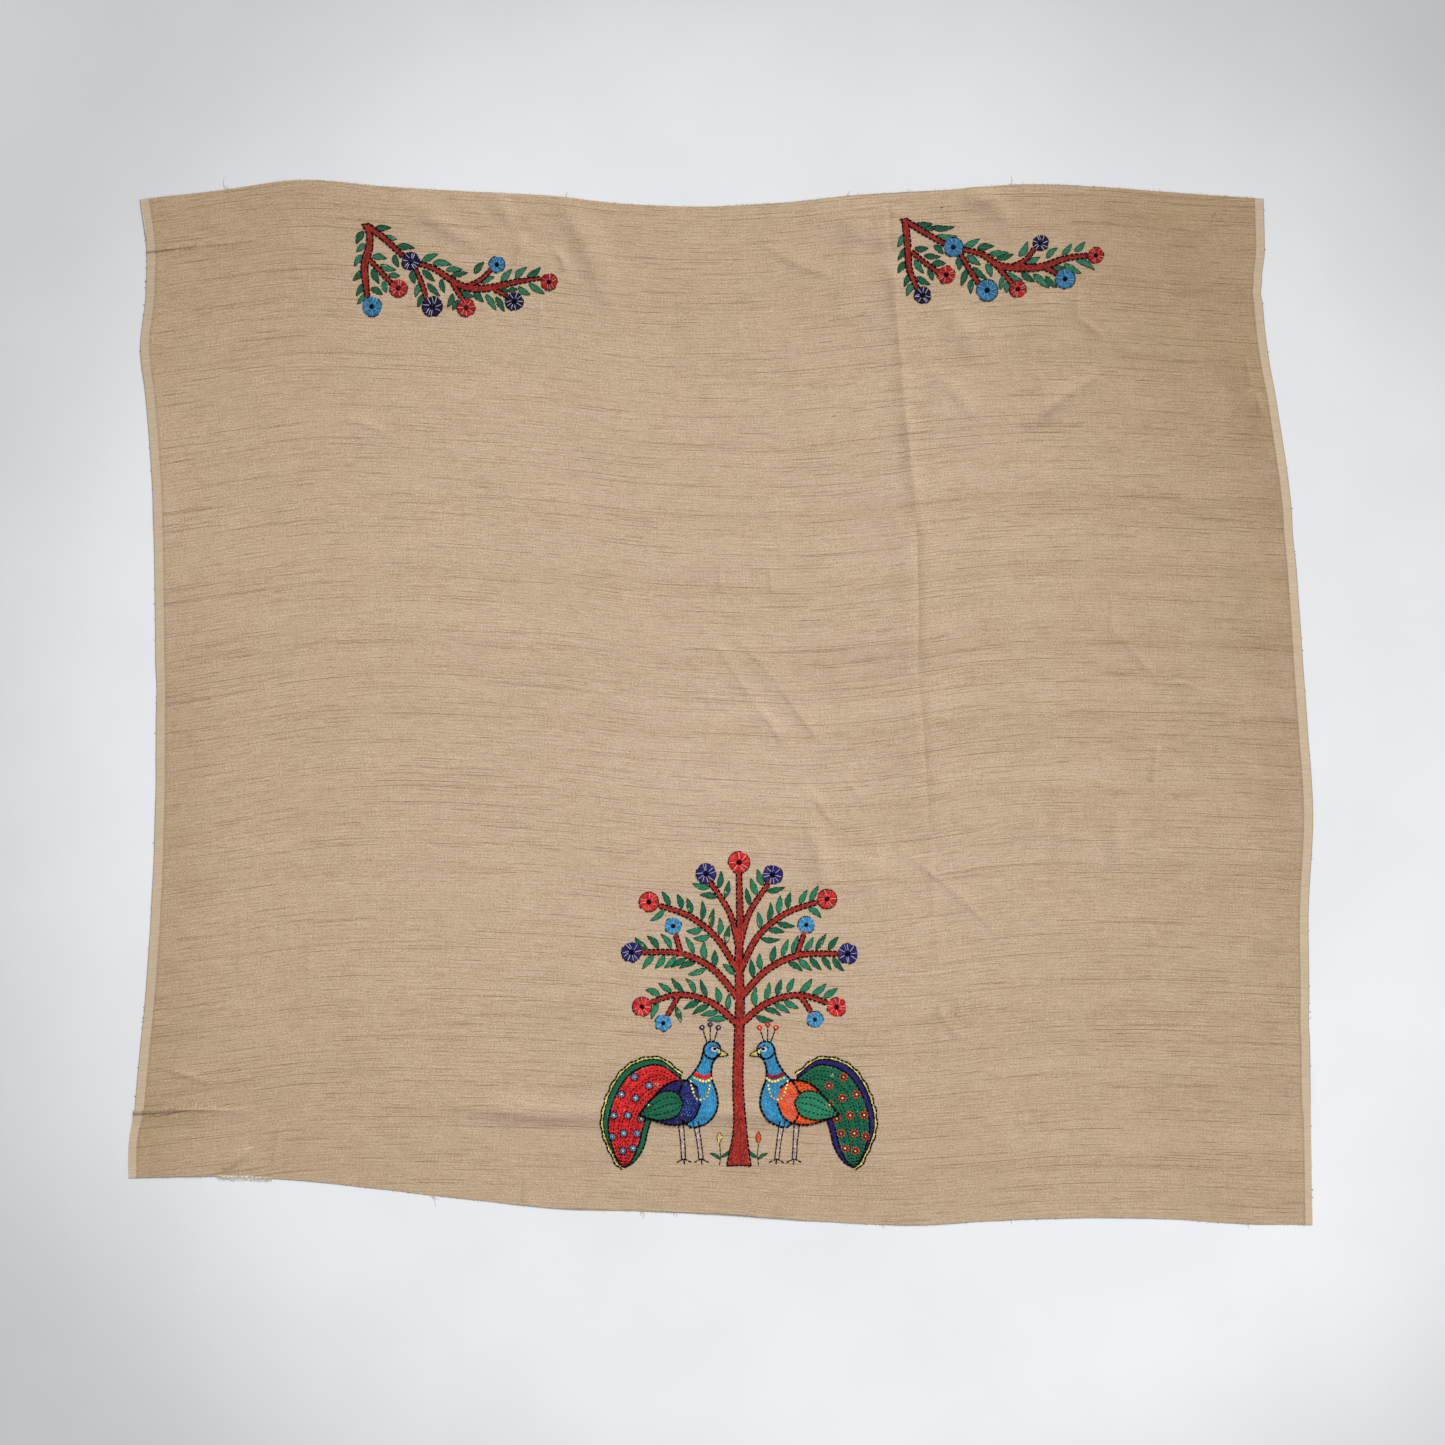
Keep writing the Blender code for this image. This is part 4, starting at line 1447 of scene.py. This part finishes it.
    def strands(self, rows, top):
        """Points, faces and thread places of all stitches of one colour."""
        start = rows[:, 0:2]
        run = rows[:, 2:4] - start
        width, height, layer = rows[:, 4:7].T
        ground = np.array([[rest_height(top, *(a + b * share)) for share in (0.0, 0.5, 1.0)]
                           for a, b in zip(start, run)]) + layer[:, None]
        count = len(start)
        length = np.linalg.norm(run, axis=1)
        side = unit_sides(run)
        points = np.zeros((count, STITCH_POINTS, 3))
        uv = np.zeros((count, STITCH_POINTS, 2))
        phase = np.arange(count) * 0.37 % 1.0 * 0.01
        number = np.arange(count) + 1.0

        def put(place, at, across, rise, lateral):
            half = 0 if at < 0.5 else 1
            base = ground[:, half] + (ground[:, half + 1] - ground[:, half]) * (at * 2 - half)
            points[:, place, 0:2] = start + run * at + side * (across * width)[:, None]
            points[:, place, 2] = base + rise
            uv[:, place] = np.stack([length * at + phase, number + lateral], axis=-1)

        put(0, 0.0, 0.0, -TIP_SINK, 0.5)
        put(STITCH_POINTS - 1, 1.0, 0.0, -TIP_SINK, 0.5)
        corners = [(at, across * wide, up * tall, across + 0.5)
                   for at, wide, tall in RINGS for across, up in SECTION]
        for place, (at, across, rise, lateral) in enumerate(corners, 1):
            put(place, at, across, height * rise - SINK, 0.1 + 0.8 * lateral)
        pattern = strand_faces()
        faces = [tuple(i * STITCH_POINTS + corner for corner in face)
                 for i in range(count) for face in pattern]
        return points.reshape(-1, 3), faces, uv.reshape(-1, 2)

    def laid(self, grid, layer, top, first):
        """Points, faces and thread places of one pad, a thin sheet over the cloth."""
        lift = PAD_HEIGHT + layer * LAYER_STEP
        points = np.array([(*place, rest_height(top, *place) + lift)
                           for place in self.place(grid.reshape(-1, 2))])
        columns, rows = grid.shape[:2]
        faces = []
        for a in (i * rows + j for i in range(columns - 1) for j in range(rows - 1)):
            square = (a, a + rows, a + rows + 1, a + 1)
            square = square if counter_clockwise(*points[list(square), :2]) else square[::-1]
            faces.append(tuple(first + corner for corner in square))
        along = np.repeat(np.arange(columns), rows) * PAD_STEP
        across = PAD_FIRST + np.tile(np.arange(rows), columns) * PAD_STRANDS
        return points, faces, np.stack([along, across], axis=-1)


def strand_faces():
    """Faces of one stitch: a fan at each end and bands between the rings."""
    size = len(SECTION)
    last = STITCH_POINTS - 1
    faces = []
    for k in range(size):
        after = (k + 1) % size
        faces.append((0, 1 + after, 1 + k))
        for near in range(1, last - size, size):
            faces.append((near + k, near + after, near + size + after, near + size + k))
        faces.append((last, last - size + k, last - size + after))
    return faces


def counter_clockwise(a, b, c, d):
    """Whether a square's corners run counter-clockwise, seen from above."""
    return (c[0] - a[0]) * (d[1] - b[1]) - (c[1] - a[1]) * (d[0] - b[0]) > 0


def branch_widths(row):
    return (row["start_width"], row["middle_width"], row["end_width"])


def build_spray(name, branches, leaves, flowers, top, materials):
    """One spray: branches first, then the leaves beside them and the flowers at their ends."""
    needle = Needle(name, SPRAY_TIPS[name])
    for row in named(BRANCH_COLUMNS, branches):
        needle.branch(row["points"], branch_widths(row))
    needle.flowers = [(np.array((x, y)), radius) for x, y, radius, thread in flowers]
    needle.outline_branches()
    for stitch in APEX_STITCHES:
        needle.line("black", plain_path(stitch), layer=3)
    for number, row in enumerate(named(LEAF_COLUMNS, leaves)):
        outline = "black" if number < OUTLINED_LEAVES[name] else "pine"
        needle.leaf((row["base_x"], row["base_y"]), (row["tip_x"], row["tip_y"]), outline=outline,
                    bend=needle.draw.uniform(-0.10, 0.10), width=needle.draw.uniform(*SPRAY_LEAF_WIDTHS),
                    thread=needle.draw.choice(SATIN))
    for row in named(FLOWER_COLUMNS, flowers):
        needle.flower((row["x"], row["y"]), row["radius"], row["thread"])
    return needle.finish(top, materials)


def build_tree(top, materials):
    """The panel's tree: a trunk, mirrored branches that differ a little, flowers and leaves."""
    needle = Needle("panel_tree", PANEL_FOOT)
    flowers = [TREE_TOP_FLOWER]
    for hand in (1, -1):
        for row, (x, y, radius, thread) in zip(named(BRANCH_COLUMNS, TREE_BRANCHES), TREE_FLOWERS):
            shift = [needle.draw.uniform(-slip, slip) for slip in MIRROR_SLIP]
            foot, *rest = row["points"]
            bent = [(hand * foot[0], foot[1])]
            bent += [(hand * px + shift[0], py + shift[1]) for px, py in rest]
            needle.branch(bent, branch_widths(row))
            flowers.append((hand * x + shift[0], y + shift[1], radius, thread))
    needle.branch(TRUNK, TRUNK_WIDTHS)
    needle.flowers = [(np.array((x, y)), radius) for x, y, radius, thread in flowers]
    needle.outline_branches()
    half_foot = TRUNK_WIDTHS[0] / 2
    needle.line("black", plain_path(((-half_foot, -0.2), (0, 0.6), (half_foot, -0.2))), layer=4)
    for path, half in needle.bands[:-1]:
        needle.leafy(path, half, *BRANCH_BARE)
    needle.leafy(*needle.bands[-1], *TRUNK_BARE)
    for x, y, radius, thread in flowers:
        needle.flower((x, y), radius, thread)
    return needle.finish(top, materials)


def build_peacock(name, hand, colours, top, materials):
    """A peacock beside the trunk, in the colours given for it."""
    needle = Needle(name, PANEL_FOOT, hand)
    sides = {row["name"]: (plain_path(row["front"], 64), plain_path(row["back"], 64))
             for row in named(PEACOCK_COLUMNS, PEACOCK_SHAPES)}
    stitch_tail(needle, *sides["tail"], colours)
    for leg in ("near_leg", "far_leg"):
        needle.shape("pink", sides[leg], 0, 0.0013, 3)
    for toe in PEACOCK_TOES:
        needle.line("black", plain_path(toe), 0.0015)
    needle.shape("blue", sides["body"], 1, 0.0022, 4)
    needle.fill(colours["wing"], *sides["wing"], layer=2)
    needle.fill(colours["wing_tip"], *sides["wing_tip"], layer=5)
    front, back = sides["wing_tip"]
    for share in (0.25, 0.5, 0.75):
        needle.running("black", front * (1 - share) + back * share, *WING_DASHES, 8)
    for part, width, layer in (("wing_tip", 0.0014, 8), ("wing", 0.0022, 7)):
        for side in sides[part]:
            needle.line("black", side, width, layer)
    stitch_head(needle, sides, colours)
    stitch_sprig(needle, colours)
    return needle.finish(top, materials)


def stitch_tail(needle, outer, inner, colours):
    """The trailing feathers: a field with dotted rows, a border, eyes and a scalloped hem."""
    def between(share):
        return outer * (1 - share) + inner * share

    first, last = (between(share) for share in TAIL_FIELD)
    needle.fill(colours["tail"], first, last)
    needle.fill(colours["border"], outer, first)
    needle.fill(colours["border"], last, inner)
    for share in TAIL_DOTS:
        needle.running("black", between(share), *TAIL_DASHES, 3)
    for share in TAIL_LINES:
        needle.line("black", between(share), 0.0018, 3)
    for share, places in TAIL_EYES:
        for at in (on_path(between(share), place) for place in places):
            needle.disc(colours["eye"], at, EYE_RADIUS, 2)
            for knot in range(EYE_KNOTS):
                turn = knot * math.pi / (EYE_KNOTS / 2)
                needle.knot(colours["eye_rim"], at + ray(KNOT_REACH, turn), 1.5, 3)
            needle.knot("yellow", at, 2.0, 5)
    wave = HEM_WIDTH + HEM_SWING * np.sin(np.linspace(0, 2 * math.pi * HEM_WAVES, len(outer)))
    hem = outer + path_side(outer) * wave[:, None]
    needle.fill("yellow", hem, outer, layer=1)
    needle.line("black", hem, 0.0017, 4)
    needle.line("black", outer, 0.0014, 4)


def stitch_head(needle, sides, colours):
    """Head, beak, eye, crest, collar and necklace."""
    x, y, radius = PEACOCK_HEAD
    needle.disc("blue", (x, y), radius, 2)
    needle.line("black", ring((x, y), radius), 0.0019, 5)
    needle.disc("white", (x - 2.2, y + 1.2), 3.4, 4)
    needle.disc("black", (x - 2.6, y + 1.2), 1.7, 6)
    needle.line("black", plain_path([(x + right, y + up) for right, up in BROW]), 0.0010, 6)
    needle.shape("yellow", sides["beak"], 3, 0.0012, 6)
    for start, end in PEACOCK_CREST:
        needle.line("black", plain_path((start, end)), 0.0013, 2)
        needle.disc(colours["crest"], end, 2.6, 3)
        needle.knot("yellow", np.array(end), 1.7, 5)
    needle.fill(colours["collar"], *sides["collar"], layer=3)
    for path, drop, count, size in ((sides["collar"][1], 2.0, 7, 3.0), (plain_path(NECKLACE), 0.0, 12, 2.6)):
        for step in range(count):
            needle.knot("yellow", on_path(path, (step + 0.5) / count) - (0.0, drop), size, 4)


def stitch_sprig(needle, colours):
    """A small plant on the ground beside the trunk."""
    needle.line("pine", plain_path(SPRIG_STEM), 0.0011)
    for row in SPRIG_LEAVES:
        needle.leaf(row[:2], row[2:], 3.6)
    x, y, radius = SPRIG_BUD
    needle.leaf((x, y - radius), (x, y + radius + 1), 6.0, 0.0, "black", colours["bud"])


def thread_end(points, thickness):
    """A thin three-sided thread through a few points in space, as points and faces."""
    points = np.asarray(points, float)
    run = np.gradient(points, axis=0)
    side = np.stack([-run[:, 1], run[:, 0], np.zeros(len(points))], axis=-1)
    side /= np.linalg.norm(side, axis=1, keepdims=True)
    taper = np.linspace(*END_TAPER, len(points))[:, None] * thickness / 2
    up = np.array((0.0, 0.0, END_RIDGE))
    rings = np.stack([points + side * taper, points - side * taper, points + up * taper], axis=1)
    corners = rings.reshape(-1, 3)
    faces = [(0, 1, 2), tuple(len(corners) - k for k in (1, 2, 3))]
    for first in range(0, len(corners) - 3, 3):
        for k, after in ((0, 1), (1, 2), (2, 0)):
            faces.append((first + k, first + 3 + k, first + 3 + after, first + after))
    return corners, faces


def loose_end(draw, start, heading, length, curl, lift, thickness):
    """One thread end that runs from the cloth's edge down to the floor."""
    points = []
    for share in np.linspace(0, 1, END_STEPS):
        reach = np.array(start) + ray(length * share, heading)
        swing = ray(curl * math.sin(math.pi * share), heading + math.pi / 2)
        fall = lift * (1 - share) ** FALL_POWER + FLOOR_LIFT + draw.uniform(0, FLOOR_SPREAD)
        points.append((*(reach + swing), fall))
    return thread_end(points, thickness)


def join_ends(name, ends, material):
    points = []
    faces = []
    for corners, end_faces in ends:
        first = len(points)
        points += corners.tolist()
        faces += [tuple(first + corner for corner in face) for face in end_faces]
    return new_piece(name, points, faces, material)


def cut_end(draw, edge, top, across, heading, length, curl, thickness):
    """One end of yarn that hangs out of a cut edge, at some angle from straight out."""
    outward = OUTWARD[edge]
    x, y = in_frame(across, 0.0 if edge == "top" else 1.0)
    lift = max(rest_height(top, x, y - outward * CUT_INSET) - END_SINK, LOWEST_START)
    return loose_end(draw, (x, y - outward * CUT_START), heading, length, curl, lift, thickness)


def build_cut_ends(edge, top, material):
    """The frayed warp ends along one cut edge, with the longer loose threads."""
    name = f"frayed_{edge}_ends"
    draw = random.Random(SEEDS[name])
    out = OUTWARD[edge] * math.pi / 2
    ends = []
    for _ in range(SHORT_ENDS):
        length = draw.uniform(*SHORT_END_LENGTHS)
        length *= 1.0 if draw.random() > LONGER_SHARE else LONGER_FACTOR
        across = draw.uniform(*EDGE_SPAN)
        heading = out + draw.gauss(0, HEADING_SPREAD["short"])
        ends.append(cut_end(draw, edge, top, across, heading, length, draw.gauss(0, CURL_SPREAD),
                            THICKNESS["short"]))
    for row in named(LOOSE_COLUMNS, LOOSE_THREADS):
        if row["edge"] == edge:
            ends.append(cut_end(draw, edge, top, row["across"], math.radians(row["heading"]),
                                row["length"], row["curl"], THICKNESS["loose"]))
    return join_ends(name, ends, material)


def build_tuft(top, material):
    """Where the cut edges have frayed most, a fringe of short pale fibres."""
    draw = random.Random(SEEDS["frayed_tuft"])
    ends = []
    for tuft in named(TUFT_COLUMNS, TUFT_ROWS):
        out = OUTWARD[tuft["edge"]] * math.pi / 2
        for _ in range(tuft["count"]):
            length = draw.uniform(*TUFT_LENGTHS) * tuft["longest"]
            across = draw.uniform(tuft["start"], tuft["end"])
            heading = out + draw.gauss(0, HEADING_SPREAD["tuft"])
            ends.append(cut_end(draw, tuft["edge"], top, across, heading, length,
                                draw.gauss(0, TUFT_CURL * length), THICKNESS["tuft"]))
    return join_ends("frayed_tuft", ends, material)


def build_selvedge_ends(top, material):
    """Short dark ends of slubs that stand out at both selvedges."""
    draw = random.Random(SEEDS["selvedge_ends"])
    ends = []
    for number in range(SELVEDGE_ENDS):
        hand = -1 if number % 2 else 1
        x, y = in_frame(0.0 if hand < 0 else 1.0, draw.uniform(*SELVEDGE_SPAN))
        heading = (0.0 if hand > 0 else math.pi) + draw.gauss(0, HEADING_SPREAD["selvedge"])
        lift = max(rest_height(top, x - hand * CUT_INSET, y) - END_SINK, LOWEST_START)
        length = draw.uniform(*SELVEDGE_END_LENGTHS)
        ends.append(loose_end(draw, (x - hand * SELVEDGE_START, y), heading, length,
                              draw.gauss(0, CURL_SPREAD), lift, THICKNESS["selvedge"]))
    return join_ends("selvedge_ends", ends, material)


def build_flaws(name, rows, top, material):
    """Short ends of yarn that lie on the face of the cloth, where the weave has a flaw."""
    ends = []
    for row in named(FLAW_COLUMNS, rows):
        run = ray(row["length"], math.radians(row["heading"]))
        places = [np.array((row["x"], row["y"])) + run * share for share in np.linspace(0, 1, END_STEPS)]
        points = [(*place, rest_height(top, *place) + FLAW_LIFT) for place in places]
        ends.append(thread_end(points, row["thickness"]))
    return join_ends(name, ends, material)


def build_floor():
    """The pale floor, in painted shade a little darker away from the middle and toward two of its corners.
    """
    s = Shader("pale_floor")
    x, y = s.object_place()
    mottle = s.noise(x * 6.0, y * 6.0, 0.0, 3.0)
    grain = s.noise(x * 90.0, y * 90.0, 3.0)
    # Painted shade: darker away from a point near the middle, a little lighter toward the bottom, darker at
    # the top right and bottom left
    off_x = x - 0.10
    off_y = y + 0.08
    away = s.math("SQRT", off_x * off_x + off_y * off_y)
    shade = s.ramp(away, 0.60, 1.00, 1.0, 0.70) * (s.ramp(y, -0.60, 0.60, 1.02, 0.95) + x * y * -0.18)
    pale = s.mix(s.ramp(mottle, 0.3, 0.7), *FLOOR_TONES)
    bpy.ops.mesh.primitive_grid_add(x_subdivisions=4, y_subdivisions=4, size=FLOOR_SIZE)
    floor = bpy.context.object
    floor.name = "floor"
    floor.location.z = FLOOR_HEIGHT
    floor.data.materials.append(s.surface(base_color=s.shade(pale, shade), roughness=0.75,
                                          normal=s.bump(mottle + grain * 0.15, 0.12, 0.002),
                                          specular_ior_level=0.25))


def light_scene():
    data = bpy.data.lights.new("key_light", "SUN")
    data.energy = KEY_STRENGTH
    data.angle = math.radians(KEY_SPREAD)
    light = bpy.data.objects.new("key_light", data)
    light.rotation_euler = Vector(TO_LIGHT).to_track_quat("Z", "Y").to_euler()
    bpy.context.scene.collection.objects.link(light)
    world = bpy.data.worlds.new("soft_surround")
    world.use_nodes = True
    background = world.node_tree.nodes["Background"]
    background.inputs["Color"].default_value = SURROUND
    background.inputs["Strength"].default_value = SURROUND_STRENGTH
    bpy.context.scene.world = world
    bpy.context.scene.view_settings.view_transform = "Standard"


def add_camera():
    data = bpy.data.cameras.new("camera")
    data.lens = LENS
    data.sensor_width = SENSOR
    camera = bpy.data.objects.new("camera", data)
    camera.location = (*VIEW_CENTRE, VIEW_WIDTH * LENS / SENSOR)
    bpy.context.scene.collection.objects.link(camera)
    bpy.context.scene.camera = camera


FOLDS = all_folds()
PLAN_SHIFT = plan_shift()

add_camera()
light_scene()
build_floor()
cloth, cloth_top = build_cloth(cloth_material())
panel_threads = thread_materials("panel_thread_", {})
spray_threads = thread_materials("spray_thread_", DEEP_THREADS)
pale_fibre, yarn_fibre, dark_fibre = (fibre_material(name) for name in FIBRES)
stitched = [
    *build_spray("left_spray", LEFT_BRANCHES, LEFT_LEAVES, LEFT_FLOWERS, cloth_top, spray_threads),
    *build_spray("right_spray", RIGHT_BRANCHES, RIGHT_LEAVES, RIGHT_FLOWERS, cloth_top, spray_threads),
    *build_tree(cloth_top, panel_threads),
    *build_peacock("panel_left_bird", -1, LEFT_BIRD, cloth_top, panel_threads),
    *build_peacock("panel_right_bird", 1, RIGHT_BIRD, cloth_top, panel_threads),
    build_cut_ends("top", cloth_top, yarn_fibre),
    build_cut_ends("bottom", cloth_top, yarn_fibre),
    build_tuft(cloth_top, pale_fibre),
    build_selvedge_ends(cloth_top, dark_fibre),
    build_flaws("pale_flaws", PALE_FLAWS, cloth_top, pale_fibre),
    build_flaws("dark_flaws", DARK_FLAWS, cloth_top, dark_fibre),
]
